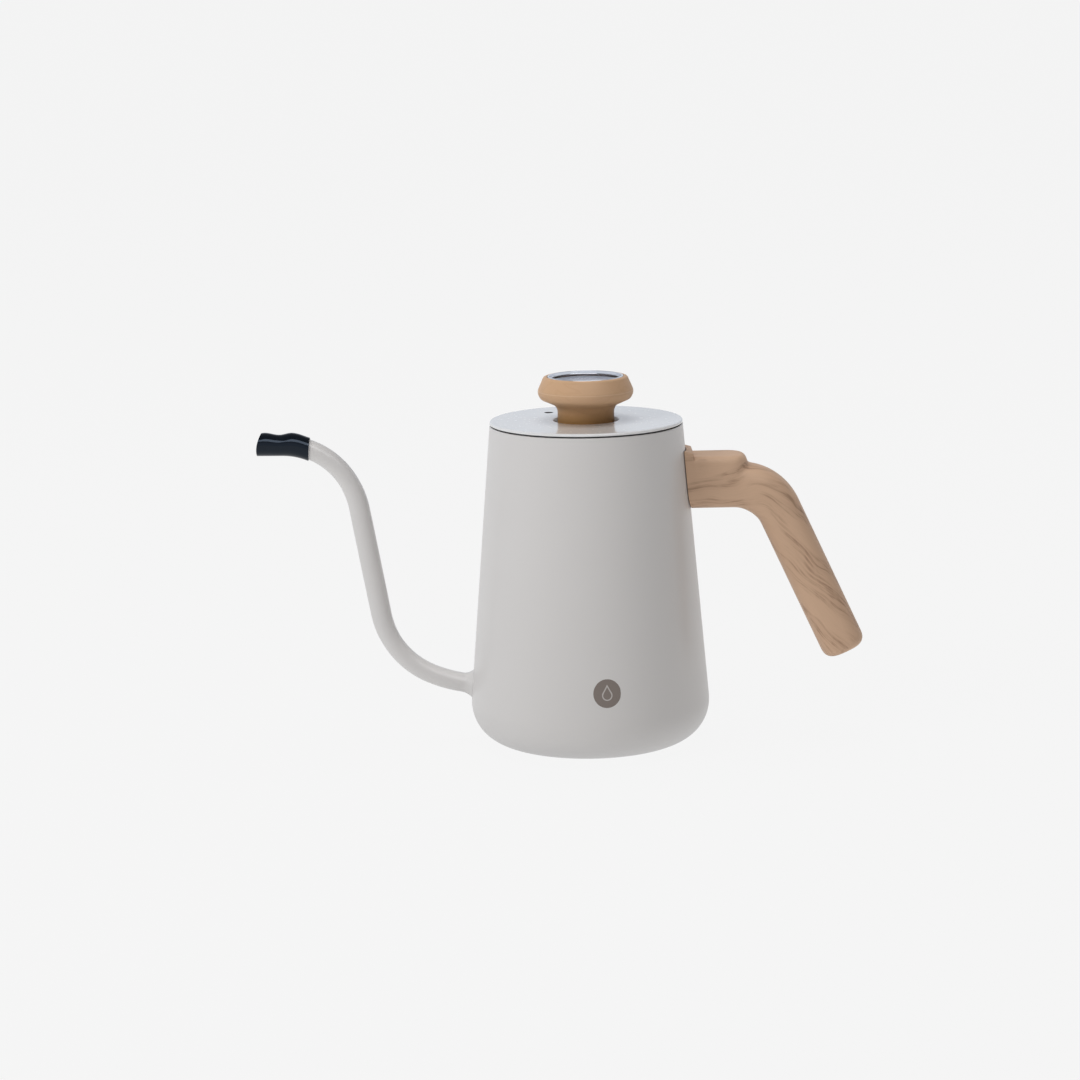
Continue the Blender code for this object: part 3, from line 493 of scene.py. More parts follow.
end_x, end_z, end_heading = spout_end
back_bend = (SLEEVE_LENGTH - SLEEVE_PAST - TIP_STRAIGHT + SLEEVE_SPARE) / TIP_BEND
start_heading = end_heading + back_bend
foot_x = end_x + TIP_STRAIGHT * cos(end_heading)
foot_z = end_z - TIP_STRAIGHT * sin(end_heading)
middle = (foot_x - TIP_BEND * sin(end_heading), foot_z - TIP_BEND * cos(end_heading))
sleeve_start = (middle[0] + TIP_BEND * sin(start_heading),
                middle[1] + TIP_BEND * cos(start_heading))
sleeve = start_ring("glossy_spout_sleeve", sleeve_start, start_heading, sleeve_size(0.0), 64)
tube = Bender(sleeve_start, start_heading, lambda gone: sleeve_size(gone - SLEEVE_SPARE))
tube.anchor = sleeve_size(0.0)
tube.bend(TIP_BEND, -back_bend, 24)
tube.straight(TIP_STRAIGHT + 2 * SLEEVE_PAST, 18)
bpy.ops.mesh.select_all(action="SELECT")
bpy.ops.mesh.bisect(plane_co=(SLEEVE_BACK[0] * MM, 0, SLEEVE_BACK[1] * MM),
                    plane_no=(1, 0, -0.10), clear_outer=True)
bpy.ops.mesh.select_all(action="SELECT")
bpy.ops.mesh.normals_make_consistent(inside=False)
bpy.ops.object.mode_set(mode="OBJECT")
wall = sleeve.modifiers.new("wall", "SOLIDIFY")
wall.thickness = SLEEVE_WALL * MM
wall.offset = -1.0
apply_all(sleeve)
let_go()
bpy.ops.mesh.primitive_cylinder_add(vertices=192, radius=MOUTH_CURVE * MM, depth=40 * MM,
                                    rotation=(pi / 2, 0, 0),
                                    location=(MOUTH_CENTRE[0] * MM, 0, MOUTH_CENTRE[1] * MM))
mouth_curve = bpy.context.object
bpy.ops.object.transform_apply()
let_go()
bpy.ops.mesh.primitive_cube_add(size=1.0)
bpy.context.object.scale = (20 * MM, 42 * MM, 40 * MM)
bpy.context.object.location = (-112.0 * MM, 0, MOUTH_CENTRE[1] * MM)
bpy.ops.object.transform_apply()
carve(mouth_curve, bpy.context.object, "UNION")
carve(sleeve, mouth_curve, "INTERSECT")
edge = sleeve.modifiers.new("soft edges", "BEVEL")
edge.width = 0.16 * MM
edge.segments = 4
edge.limit_method = "ANGLE"
edge.angle_limit = radians(50)
apply_all(sleeve)
close_up(sleeve, 50)

silicone, shader, here = new_finish("glossy_black_silicone", {
    "Specular IOR Level": 0.42, "Specular Tint": (0.66, 0.80, 1.0, 1.0)})
dust = here.noise(700.0, 3.0)
black = dust.step(0.45, 0.8).tint((0.0015, 0.0025, 0.0045), (0.004, 0.006, 0.010))
black.feed(shader, "Base Color")
(0.05 + 0.06 * dust).feed(shader, "Roughness")
(here.noise(150.0, 1.0) + 0.05 * here.noise(1100.0)).bump(0.00005, 0.2).feed(shader, "Normal")
wear(sleeve, silicone)
belongs(sleeve, "kettle", "black_silicone", "spout_tip_sleeve")


# Handle. One moulding of wood-look plastic: an arm flush to the body, a thumb pad on its top, a
# tight bend and a straight grip. A printed film gives the grain, which follows the handle round.

ARM = 107.27  # height of the arm's centre line
ARM_WALL = SIDE_FOOT - ARM * SIDE_SLOPE
HANDLE_CORNER = ARM_WALL + 32.55
HANDLE_TURN = radians(65.3)
HANDLE_BEND = 20.0
HANDLE_WIDTH = 21.5
HANDLE_DEPTH = 18.4
HANDLE_SQUARE = 2.8  # power of the rounded-square section
HANDLE_START = ARM_WALL - 8.0  # inside the wall, where the spare is cut off later
END_ROUND = 3.5
GRIP = 77.9
BEND_START = HANDLE_CORNER - HANDLE_BEND * tan(HANDLE_TURN / 2)
BEND_LENGTH = HANDLE_BEND * HANDLE_TURN
GRIP_STRAIGHT = GRIP - HANDLE_BEND * tan(HANDLE_TURN / 2)


def handle_size(gone):
    """Share of the full section: a swell round the bend and a rounded end."""
    arm = BEND_START - HANDLE_START
    if gone < arm:
        return 1.0
    if gone < arm + BEND_LENGTH:
        return 1.0 + 0.055 * sin(pi * (gone - arm) / BEND_LENGTH)
    left = arm + BEND_LENGTH + GRIP_STRAIGHT - gone
    if left >= END_ROUND:
        return 1.0
    drop = END_ROUND - sqrt(max(0.0, END_ROUND ** 2 - (END_ROUND - left) ** 2))
    return 1.0 - drop / (HANDLE_DEPTH / 2)


handle = start_ring("wood_look_handle", (HANDLE_START, ARM), pi, 1.0, 72)
shape = bmesh.from_edit_mesh(handle.data)
for vert in shape.verts:
    angle = atan2(vert.co.z - ARM * MM, vert.co.y)
    reach = (abs(cos(angle)) ** HANDLE_SQUARE
             + abs(sin(angle)) ** HANDLE_SQUARE) ** (-1 / HANDLE_SQUARE)
    vert.co.y = HANDLE_WIDTH / 2 * MM * reach * cos(angle)
    vert.co.z = ARM * MM + HANDLE_DEPTH / 2 * MM * reach * sin(angle)
bmesh.update_edit_mesh(handle.data)
bar = Bender((HANDLE_START, ARM), pi, handle_size)
bar.straight(BEND_START - HANDLE_START, 10)
bar.bend(HANDLE_BEND, HANDLE_TURN, 22)
bar.straight(GRIP_STRAIGHT - END_ROUND, 20)
for step in (0.9, 0.8, 0.7, 0.5, 0.3, 0.2, 0.099):
    bar.straight(step, 1)
bpy.ops.mesh.select_all(action="SELECT")
bpy.ops.mesh.fill_holes(sides=0)
close_up(handle, 50)



def arm_block(end, width, top):
    """A block on the arm's centre line, from inside the wall to an end, up to a top."""
    let_go()
    bpy.ops.mesh.primitive_cube_add(size=1.0)
    block = bpy.context.object
    block.scale = ((end - HANDLE_START) * MM, width * MM, (top - ARM) * MM)
    block.location = ((end + HANDLE_START) / 2 * MM, 0, (top + ARM) / 2 * MM)
    bpy.ops.object.transform_apply()
    return block


pad_top = ARM + HANDLE_DEPTH / 2 + 4.2
pad = arm_block(ARM_WALL + 24.25, 21.3, pad_top)
for along_up, width, steps in ((True, 8.0, 10), (False, 3.0, 6)):
    bevel = pad.modifiers.new("round", "BEVEL")
    bevel.limit_method = "WEIGHT"
    bevel.width = width * MM
    bevel.segments = steps
    weight = pad.data.attributes.get("bevel_weight_edge") or pad.data.attributes.new(
        "bevel_weight_edge", "FLOAT", "EDGE")
    for item in pad.data.edges:
        a, b = (pad.data.vertices[i].co for i in item.vertices)
        upright = abs(a.z - b.z) > 5 * MM and abs(a.x - b.x) < MM and a.x > ARM_WALL * MM
        top = a.z > (pad_top - 0.01) * MM and b.z > (pad_top - 0.01) * MM
        weight.data[item.index].value = 1.0 if (upright if along_up else top) else 0.0
    apply_all(pad)
carve(handle, pad, "UNION")

soften = handle.modifiers.new("mould skin", "REMESH")
soften.mode = "VOXEL"
soften.voxel_size = 0.5 * MM
flow = handle.modifiers.new("blended joints", "SMOOTH")
flow.factor = 0.6
flow.iterations = 36
apply_all(handle)

lip_top = pad_top + 3.9
lip_x = SIDE_FOOT - lip_top * SIDE_SLOPE + 3.2
lip = arm_block(lip_x, 20.9, lip_top)
bpy.ops.object.mode_set(mode="EDIT")
pick_points(lip, lambda co: co.z > (lip_top - 1) * MM and co.x > (lip_x - 1) * MM)
bpy.ops.transform.translate(value=(0, 0, -2.4 * MM))
bpy.ops.object.mode_set(mode="OBJECT")
bevel = lip.modifiers.new("round", "BEVEL")
bevel.width = 0.7 * MM
bevel.segments = 4
apply_all(lip)
carve(handle, lip, "UNION")

clear_foot = SIDE_FOOT + 0.4
let_go()
bpy.ops.mesh.primitive_cone_add(vertices=192, radius1=clear_foot * MM,
                                radius2=(clear_foot - 150 * SIDE_SLOPE) * MM,
                                depth=150 * MM, location=(0, 0, 75 * MM))
carve(handle, bpy.context.object)
let_go()
bpy.ops.mesh.primitive_cylinder_add(vertices=48, radius=4.1 * MM, depth=7.57 * MM,
                                    location=((ARM_WALL + 12.0) * MM, 0, 98.785 * MM))
carve(handle, bpy.context.object)
close_up(handle, 42)


def handle_place(co):
    """Where a point of the handle lies: along its centre line, out from it, and across."""
    x, y, z = (c / MM for c in co)
    centre_z = ARM - HANDLE_BEND
    if x < BEND_START:
        return x - ARM_WALL, z - ARM, y
    angle = atan2(x - BEND_START, z - centre_z)
    if 0 <= angle < HANDLE_TURN:
        out = sqrt((x - BEND_START) ** 2 + (z - centre_z) ** 2) - HANDLE_BEND
        return BEND_START - ARM_WALL + HANDLE_BEND * angle, out, y
    dx = x - BEND_START - HANDLE_BEND * sin(HANDLE_TURN)
    dz = z - centre_z - HANDLE_BEND * cos(HANDLE_TURN)
    run = dx * cos(HANDLE_TURN) - dz * sin(HANDLE_TURN)
    out = dx * sin(HANDLE_TURN) + dz * cos(HANDLE_TURN)
    return BEND_START - ARM_WALL + BEND_LENGTH + run, out, y


grain_map = handle.data.attributes.new("grain", "FLOAT_VECTOR", "POINT")
for vert in handle.data.vertices:
    grain_map.data[vert.index].vector = Vector(handle_place(vert.co)) * MM


def wood_film(name, attribute, pale, dark, amount):
    """Printed wood: bundles of dark growth lines that wind slowly round the piece as they run."""
    material, shader, here = new_finish(name, {"Specular IOR Level": 0.25})
    place = here.put("Attribute", {"attribute_name": attribute}, outlet="Vector")
    along = place.split("X")
    sway = place.stretch(0.6, 1.0, 1.0).noise(38.0, 2.0, 0.5) - 0.5
    wind = 1.6 * sway - 34.0 * (along - 0.020).math("MAXIMUM", 0.0)
    plank = here.put("VectorRotate", {"rotation_type": "X_AXIS"}, {"Vector": place, "Angle": wind})
    bundle = plank.stretch(0.20, 1.0, 1.0).noise(170.0, 1.0, 0.5).step(0.46, 0.62)
    line = plank.stretch(0.035, 1.0, 1.0).noise(1000.0, 3.0, 0.65).step(0.44, 0.62)
    fibre = plank.stretch(0.03, 1.0, 1.0).noise(2600.0, 3.0, 0.65)
    broken = place.stretch(0.3, 1.0, 1.0).noise(500.0, 2.0, 0.6).step(0.30, 0.60)
    shade = amount * bundle * line * (0.4 + 0.6 * broken) + 0.10 * bundle + 0.30 * (fibre - 0.42)
    shade = shade.math("MINIMUM", 1.0).math("MAXIMUM", 0.0)
    ground = here.noise(45.0, 2.0).tint(pale, tuple(c * 0.94 for c in pale))
    shade.tint(ground, dark).feed(shader, "Base Color")
    (0.50 + 0.10 * fibre - 0.05 * line).feed(shader, "Roughness")
    (0.5 * fibre - bundle * line).bump(0.00003, 0.3).feed(shader, "Normal")
    return material


wear(handle, wood_film("handle_wood_film", "grain", (0.655, 0.445, 0.305), (0.310, 0.185, 0.120),
                       0.66))
belongs(handle, "kettle", "wood_look", "handle_grip")


# Handle fixings. A pressed steel bracket spot-welded to the wall, a socket screw and its spring
# washer hold the handle from below; they are plain zinc-bright steel and keep their CAD shapes.

bracket_steel = brushed("bracket_steel_finish", (0.58, 0.57, 0.56), 0.34)
for name in ("handle_bracket", "handle_screw", "handle_lock_washer"):
    wear(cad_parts[name], bracket_steel)


# Lid. A disc of 0.7 mm steel, its edge folded down and a shallow well pressed for the knob. It has
# the same white as the body under a glossy clear coat, and one small steam vent.

VENT_PLACE = (-15.282, 21.034)
VENT_RADIUS = 1.9

lid = turn_up("glossy_lid", [
    (4.2, 133.2, 0), (12.3, 133.2, 0), (13.1, 133.2, 0.6), (13.7, 135.8, 0.5),
    (14.4, 135.8, 0), (27.0, 135.8, 0), (39.1, 135.8, 0), (40.05, 135.8, 0.75),
    (40.05, 134.66, 0.2), (39.35, 134.66, 0), (39.35, 135.1, 0), (14.4, 135.1, 0),
    (13.8, 132.5, 0), (4.2, 132.5, 0)], steps=160, segments=6)
let_go()
bpy.ops.mesh.primitive_cylinder_add(vertices=48, radius=VENT_RADIUS * MM, depth=4 * MM,
                                    location=(VENT_PLACE[0] * MM, VENT_PLACE[1] * MM, 135.5 * MM))
carve(lid, bpy.context.object)
close_up(lid)

gloss, shader, here = new_finish("glossy_lid_coat", {
    "Specular IOR Level": 0.55, "Coat Weight": 1.0, "Coat Roughness": 0.05, "Coat IOR": 1.5})
coat = here.noise(30.0, 3.0).tint((0.750, 0.757, 0.765), (0.770, 0.777, 0.785))
# the vent's wall and a hair round its edge are painted near black: painted shade inside the hole
vent_x = here.split("X") - VENT_PLACE[0] * MM
vent_y = here.split("Y") - VENT_PLACE[1] * MM
from_vent = (vent_x * vent_x + vent_y * vent_y).math("SQRT")
bare_steel_and_vent_shade = 1.0 - from_vent.step((VENT_RADIUS - 0.02) * MM, (VENT_RADIUS + 0.06) * MM)
bare_steel_and_vent_shade.tint(coat, (0.050, 0.050, 0.055)).feed(shader, "Base Color")
(0.22 + 0.08 * here.noise(500.0, 3.0)).feed(shader, "Roughness")
here.noise(160.0, 1.0).bump(0.00001, 0.10).feed(shader, "Normal")
wear(lid, gloss)
belongs(lid, "lid", "lid_paint", "lid_disc")


# Lid skirt, seal and fixings. Under the disc a thin steel skirt guides the lid into the mouth; a
# ribbed black silicone ring is stretched over it and shows as the dark line under the lid's edge.

skirt = turn_up("lid_guide_skirt", [
    (30.6, 134.8, 0), (35.6, 134.8, 0.5), (35.6, 125.5, 0.2), (35.0, 125.5, 0.2),
    (35.0, 134.2, 0.3), (30.6, 134.2, 0)], steps=128, segments=4)
skirt_steel = brushed("skirt_steel_finish", (0.66, 0.65, 0.64), 0.24)
wear(skirt, skirt_steel)
belongs(skirt, "lid", "brushed_steel", "lid_skirt")

rib_corners = []
for height in (131.37, 128.87):
    rib_corners += [(36.5, height + 0.5, 0.1), (36.7, height, 0.08), (36.5, height - 0.5, 0.1)]
seal = turn_up("ribbed_lid_seal", [
    (35.9, 134.8, 0), (39.2, 134.8, 0.15), (39.2, 134.37, 0.1), (36.5, 134.37, 0.1),
    *rib_corners, (36.5, 127.0, 0.2), (35.9, 127.0, 0)], steps=128, segments=3)


def soft_rubber(name, shade):
    material, shader, here = new_finish(name, {"Specular IOR Level": 0.35})
    bloom = here.noise(420.0, 3.0)
    low = (shade, shade, shade * 1.08)
    bloom.step(0.4, 0.8).tint(low, tuple(c * 1.7 for c in low)).feed(shader, "Base Color")
    (0.42 + 0.2 * bloom).feed(shader, "Roughness")
    here.noise(2600.0).bump(0.00001, 0.4).feed(shader, "Normal")
    return material


black_rubber = soft_rubber("black_seal_rubber", 0.008)
wear(seal, black_rubber)
belongs(seal, "lid", "black_silicone", "lid_seal")

nut_low, nut_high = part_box("lid_nut")
nut_middle = (0, 0, (nut_low.z + nut_high.z) / 2)
let_go()
bpy.ops.mesh.primitive_cylinder_add(vertices=6, radius=7.506 * MM, depth=4.0 * MM,
                                    location=nut_middle)
nut = bpy.context.object
nut.name = "hex_lid_nut"
bpy.ops.object.transform_apply()
let_go()
bpy.ops.mesh.primitive_cylinder_add(vertices=64, radius=4.2 * MM, depth=8.0 * MM,
                                    location=nut_middle)
carve(nut, bpy.context.object)
edge = nut.modifiers.new("broken edges", "BEVEL")
edge.width = 0.35 * MM
edge.segments = 3
edge.limit_method = "ANGLE"
edge.angle_limit = radians(40)
apply_all(nut)
close_up(nut)
wear(nut, skirt_steel)
belongs(nut, "lid", "brushed_steel", "lid_nut")

for name, finish in (("nut_gasket", soft_rubber("nut_gasket_rubber", 0.02)),
                     ("knob_gasket", soft_rubber("knob_gasket_rubber", 0.015)),
                     ("nut_washer", skirt_steel), ("threaded_bush", skirt_steel)):
    wear(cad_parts[name], finish)


# Knob. Turned-looking wood plastic: a neck that stands in the lid's well and a head with a full
# belly, hollowed for the thermometer. The print is plainer here, and the mould's two halves leave
# a hair line round the belly, dented in and painted lighter as a highlight. Below the belly the
# colour is painted darker down to the neck, as shade.

KNOB_SEAM = 0.1481  # height of the hair line, in metres

knob = turn_up("wood_look_knob", [
    (15.95, 153.95, 0), (16.35, 154.0, 0.12), (17.45, 153.66, 1.0), (20.1, 147.55, 3.0),
    (18.8, 144.75, 2.2), (11.75, 141.6, 3.4), (11.75, 134.6, 0.5), (4.2, 134.6, 0),
    (4.2, 145.65, 0), (7.1, 145.65, 0), (7.1, 147.05, 0), (15.7, 147.05, 0),
    (15.7, 152.6, 0), (15.95, 152.6, 0)],
    steps=144, segments=8, sharp=40)
knob_film, shader, here = new_finish("knob_wood_film", {"Specular IOR Level": 0.25})
x = here.split("X")
y = here.split("Y")
z = here.split("Z")
sway = here.noise(40.0, 2.0)
plank = here.put("CombineXYZ", {}, {"X": 0.10 * x, "Y": y + 0.006 * sway, "Z": z + 0.1 * x})
figure = plank.noise(150.0, 2.0, 0.5, 0.5)
streak = 1.0 - (figure - 0.5).math("ABSOLUTE").step(0.003, 0.05)
fibre = here.stretch(0.05, 1.0, 1.0).noise(2300.0, 3.0, 0.6)
tone = 0.20 * streak + 0.25 * fibre
# hair line: a real parting line, dented in by the bump, and a painted highlight where it is tinted
# lighter
parting_line_and_painted_highlight = 1.0 - (z - KNOB_SEAM).math("ABSOLUTE").step(0.00008, 0.00026)
# below the belly the wood is painted darker and more orange down to the neck: painted shade under
# the head
painted_neck_shade = 1.0 - z.step(0.1350, 0.1480)
light_wood = painted_neck_shade.tint((0.595, 0.385, 0.235), (0.370, 0.205, 0.080))
dark_wood = painted_neck_shade.tint((0.500, 0.305, 0.170), (0.290, 0.155, 0.055))
(0.5 * parting_line_and_painted_highlight).tint(tone.tint(light_wood, dark_wood), (0.72, 0.52, 0.35)).feed(shader, "Base Color")
(0.40 + 0.12 * fibre).feed(shader, "Roughness")
(0.12 * fibre - 1.0 * parting_line_and_painted_highlight).bump(0.00008, 0.5).feed(shader, "Normal")
wear(knob, knob_film)
belongs(knob, "lid", "wood_look", "knob_body")


# Thermometer. A pressed steel case with a printed dial, a bimetal pointer, a glass in a soft
# gasket and a rolled chrome bezel; its stem hangs down the kettle's axis into the water.

bezel = turn_up("rolled_chrome_bezel", [
    (14.3, 152.95, 0), (14.80, 153.0, 0.1), (14.9, 154.15, 0.18), (15.75, 154.15, 0.3),
    (15.75, 153.4, 0), (15.4, 153.4, 0), (15.4, 152.95, 0)], steps=144, segments=5, sharp=50)
chrome, shader, here = new_finish("bright_chrome", {"Metallic": 1.0})
haze = here.noise(300.0, 3.0)
haze.tint((0.80, 0.81, 0.84), (0.86, 0.87, 0.89)).feed(shader, "Base Color")
(0.04 + 0.06 * haze).feed(shader, "Roughness")
wear(bezel, chrome)
belongs(bezel, "lid", "chrome", "bezel_ring")

lens = turn_up("thermometer_glass", [
    (0.0, 152.5, 0), (14.3, 152.5, 0), (14.7, 152.5, 0.2), (14.7, 151.4, 0.1), (14.4, 151.4, 0),
    (0.0, 151.4, 0)],
    steps=128, segments=4)
glass, shader, here = new_finish("dial_glass", {
    "Transmission Weight": 1.0, "IOR": 1.5, "Base Color": (0.60, 0.56, 0.69, 1.0)})
(0.01 + 0.03 * here.noise(200.0, 3.0).step(0.5, 0.8)).feed(shader, "Roughness")
wear(lens, glass)
belongs(lens, "lid", "clear_glass", "glass_lens")

dial = turn_up("printed_dial", [
    (1.1, 149.15, 0), (14.7, 149.15, 0), (14.7, 149.45, 0.08), (14.5, 149.45, 0),
    (1.3, 149.45, 0), (1.1, 149.45, 0.05)],
    steps=96, segments=2)
SCALE_START = 225.0  # degrees from +X at 0 degrees Celsius; the scale runs clockwise
SCALE_STEP = 2.7  # degrees of turn for each degree Celsius
print_ink, shader, here = new_finish("dial_print_ink", {"Specular IOR Level": 0.5})
x = here.split("X")
y = here.split("Y")
radius = 1000.0 * (x * x + y * y).math("SQRT")
turn = y.math("ARCTAN2", x) * (180.0 / pi)
turn = turn + 360.0 * turn.math("LESS_THAN", -90.0)
heat = (SCALE_START - turn) * (1.0 / SCALE_STEP)


def between(value, low, high, soft):
    return value.step(low - soft, low + soft) * (1.0 - value.step(high - soft, high + soft))


def ticks(every, half_width, low, high):
    """Radial lines each so many degrees Celsius, of a half width in millimetres."""
    off = (heat * (1.0 / every)).math("PINGPONG", 0.5) * radians(every * SCALE_STEP) * radius
    return (1.0 - off.step(half_width * 0.6, half_width * 1.4)) * between(radius, low, high, 0.05)


on_scale = between(heat, -0.6, 100.6, 0.2)
marks = (ticks(10.0, 0.16, 11.3, 13.6) + ticks(2.0, 0.08, 12.5, 13.6)) * on_scale
marks = marks + between(radius, 13.55, 13.75, 0.04) * on_scale
marks = marks.math("MINIMUM", 1.0)
brew = between(heat, 88.0, 96.0, 0.2) * between(radius, 12.45, 13.5, 0.05)
face = here.noise(120.0, 2.0).tint((0.74, 0.74, 0.75), (0.70, 0.70, 0.71))
ground = brew.tint(face, (0.80, 0.22, 0.04))
marks.tint(ground, (0.02, 0.02, 0.025)).feed(shader, "Base Color")
(0.34 + 0.1 * here.noise(900.0)).feed(shader, "Roughness")
wear(dial, print_ink)
belongs(dial, "lid", "dial_print", "dial_plate")

figures = []
for value in (0, 20, 40, 60, 80, 100):
    angle = radians(SCALE_START - SCALE_STEP * value)
    let_go()
    bpy.ops.object.text_add(location=(9.6 * MM * cos(angle), 9.6 * MM * sin(angle),
                                      149.47 * MM))
    text = bpy.context.object
    text.data.body = str(value)
    text.data.size = 2.9 * MM
    text.data.align_x = "CENTER"
    text.data.align_y = "CENTER"
    text.data.extrude = 0.01 * MM
    bpy.ops.object.convert(target="MESH")
    bpy.ops.object.transform_apply()
    figures.append(bpy.context.object)
let_go()
for item in figures:
    item.select_set(True)
bpy.context.view_layer.objects.active = figures[0]
bpy.ops.object.join()
numerals = bpy.context.object
numerals.name = "dial_numerals"
close_up(numerals)
dark_ink, shader, here = new_finish("numeral_ink", {})
here.noise(800.0).tint((0.02, 0.02, 0.025), (0.035, 0.035, 0.04)).feed(shader, "Base Color")
(0.4 + 0.1 * here.noise(900.0)).feed(shader, "Roughness")
wear(numerals, dark_ink)
belongs(numerals, "lid", "dial_print")

let_go()
bpy.ops.mesh.primitive_cylinder_add(vertices=48, radius=1.7 * MM, depth=0.725 * MM,
                                    location=(0, 0, 150.1875 * MM))
needle = bpy.context.object
needle.name = "enamelled_pointer"
bpy.ops.object.transform_apply()
bpy.ops.object.mode_set(mode="EDIT")
pick_points(needle, lambda co: co.z > 150.3 * MM)
bpy.ops.mesh.bevel(offset=0.3 * MM, segments=4, affect="EDGES")
let_go()
bpy.ops.mesh.primitive_cube_add(size=1.0)
blade = bpy.context.object
blade.scale = (15.8 * MM, 1.4 * MM, 0.25 * MM)
blade.location = (3.9 * MM, 0, 149.95 * MM)
bpy.ops.object.transform_apply()
bpy.ops.object.mode_set(mode="EDIT")
pick_points(blade, lambda co: co.x > 10 * MM)
bpy.ops.transform.resize(value=(1, 0.29, 1), center_override=(11.8 * MM, 0, 149.95 * MM))
let_go()
carve(needle, blade, "UNION")
let_go()
bpy.ops.mesh.primitive_cylinder_add(vertices=32, radius=0.8 * MM, depth=4 * MM,
                                    location=(0, 0, 150.2 * MM))
carve(needle, bpy.context.object)
needle.data.transform(Matrix.Rotation(radians(171.0), 4, "Z"))
close_up(needle)
enamel, shader, here = new_finish("pointer_enamel", {"Coat Weight": 0.4, "Coat Roughness": 0.1})
here.noise(600.0).tint((0.62, 0.035, 0.02), (0.70, 0.05, 0.03)).feed(shader, "Base Color")
(0.28 + 0.1 * here.noise(900.0)).feed(shader, "Roughness")
wear(needle, enamel)
belongs(needle, "pointer", "pointer_paint", "pointer")

stem = turn_up("polished_stem", [
    (0.0, 44.42, 0), (1.65, 44.42, 0), (1.65, 147.05, 0), (2.0, 147.05, 0.1),
    (2.0, 44.07, 1.2), (0.0, 44.07, 0)], steps=64, segments=8)
case_steel = brushed("case_steel_finish", (0.62, 0.61, 0.60), 0.22)
wear(stem, case_steel)
belongs(stem, "lid", "brushed_steel", "stem_tube")


def warm_metal(name, colour, rough):
    material, shader, here = new_finish(name, {"Metallic": 1.0})
    tarnish = here.noise(500.0, 3.0)
    dull = tuple(c * 0.7 for c in colour)
    tarnish.step(0.35, 0.75).tint(colour, dull).feed(shader, "Base Color")
    (rough + 0.15 * tarnish).feed(shader, "Roughness")
    return material


wear(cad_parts["thermometer_case"], case_steel)
wear(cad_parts["pointer_spindle"], case_steel)
wear(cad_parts["lens_gasket"], black_rubber)
wear(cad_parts["spindle_bushing"],
     warm_metal("brass_bushing_finish", (0.78, 0.57, 0.25), 0.25))
wear(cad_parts["bimetal_coil"], warm_metal("bimetal_finish", (0.66, 0.44, 0.27), 0.3))


# Table, light and camera. A glowing white sweep under a soft sky; a large light at the left front,
# one overhead, a weak warm one in front and a long one that only glossy pieces mirror. The camera
# looks a little down on the kettle from in front.

TABLE_GLOW = 0.80  # what the table sends to the kettle
TABLE_SEEN = 0.897  # what the camera sees of it
SKY_GLOW = 0.16  # what the sky sends to matt surfaces
SKY_MIRROR = 0.58  # what glossy ones see in it besides
SKY_SEEN = 0.913
AIM = Vector((-0.020010, 0.0, 0.085240))
DISTANCE = 1.2591
PITCH = radians(10.887)
ROLL = radians(-1.086)

let_go()
bpy.ops.mesh.primitive_plane_add(size=240.0)
table = bpy.context.object
table.name = "white_table"
sweep = bpy.data.materials.new("white_sweep")
sweep.use_nodes = True
tree = sweep.node_tree
tree.nodes.clear()
start = Lead(tree)
seen = start.put("LightPath", outlet="Is Camera Ray")
place = start.put("TexCoord", outlet="Object")
x = place.split("X")
y = place.split("Y")
# the glow the kettle gets from the table is dimmed within 40 to 85 mm of its axis: a painted shadow
# under the foot
clear = (x * x + y * y).math("SQRT").step(0.040, 0.085)
sent = TABLE_GLOW * (0.85 + 0.15 * clear)
glow = start.put("Emission", {}, {"Color": (1, 1, 1, 1),
                                  "Strength": sent + (TABLE_SEEN - sent) * seen})
cloth = start.put("BsdfDiffuse", {}, {"Color": (0.02, 0.02, 0.02, 1)})
both = start.put("AddShader", {}, {0: glow, 1: cloth})
both.feed(tree.nodes.new("ShaderNodeOutputMaterial"), "Surface")
wear(table, sweep)

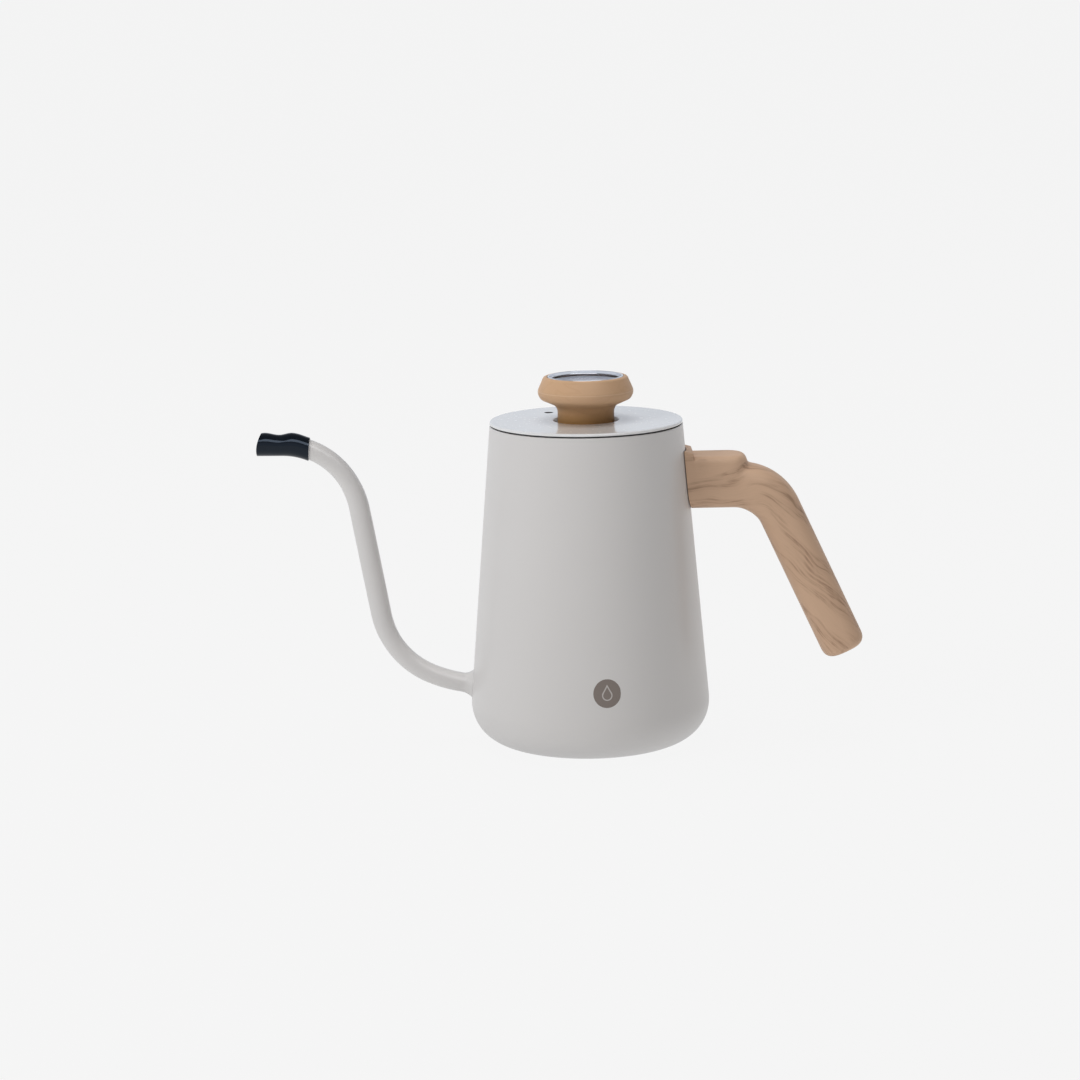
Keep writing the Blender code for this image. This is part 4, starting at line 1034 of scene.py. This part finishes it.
world = bpy.data.worlds.new("even_sky")
bpy.context.scene.world = world
world.use_nodes = True
tree = world.node_tree
start = Lead(tree)
seen = start.put("LightPath", outlet="Is Camera Ray")
mirrored = start.put("LightPath", outlet="Is Glossy Ray")
background = tree.nodes["Background"]
mirrored.tint((1, 1, 1), (0.86, 0.91, 1.0)).feed(background, "Color")
low = 1.0 - 0.85 * start.put("TexCoord", outlet="Generated").split("Z").step(0.25, 0.80)
shine = SKY_GLOW + SKY_MIRROR * mirrored * low + (SKY_SEEN - SKY_GLOW) * seen
shine.feed(background, "Strength")


def soft_light(name, place, size, power, colour=(1, 1, 1), mirrored=False):
    """A soft light aimed at the kettle, met either by matt surfaces or by glossy ones."""
    let_go()
    bpy.ops.object.light_add(type="AREA", location=place)
    light = bpy.context.object
    light.name = name
    light.data.shape = "ELLIPSE"
    light.data.size, light.data.size_y = size
    light.data.energy = power
    light.data.color = colour
    light.visible_glossy = mirrored
    light.visible_diffuse = not mirrored
    if mirrored:
        light.data.cycles.max_bounces = 0
    towards = Vector((0, 0, 0.08)) - Vector(place)
    light.rotation_euler = towards.to_track_quat("-Z", "Y").to_euler()


soft_light("key_light", (-1.25, -0.85, 0.95), (0.9, 0.9), 12.1)
soft_light("top_light", (-0.1, 0.2, 1.6), (1.2, 1.2), 13.5)
soft_light("front_light", (0.55, -1.5, 0.75), (0.9, 0.9), 1.6, (1.0, 0.84, 0.70))
soft_light("mirrored_light", (0.1, -0.8, 1.15), (2.0, 0.55), 8.0, (0.95, 0.97, 1.0),
           mirrored=True)

let_go()
bpy.ops.object.camera_add()
camera = bpy.context.object
camera.data.lens = 100.5
camera.data.sensor_width = 36.0
camera.data.clip_end = 500.0
stand = AIM + DISTANCE * Vector((0, -cos(PITCH), sin(PITCH)))
camera.matrix_world = (Matrix.Translation(stand) @ Matrix.Rotation(pi / 2 - PITCH, 4, "X")
                       @ Matrix.Rotation(ROLL, 4, "Z"))
bpy.context.scene.camera = camera
bpy.context.scene.view_settings.view_transform = "Standard"
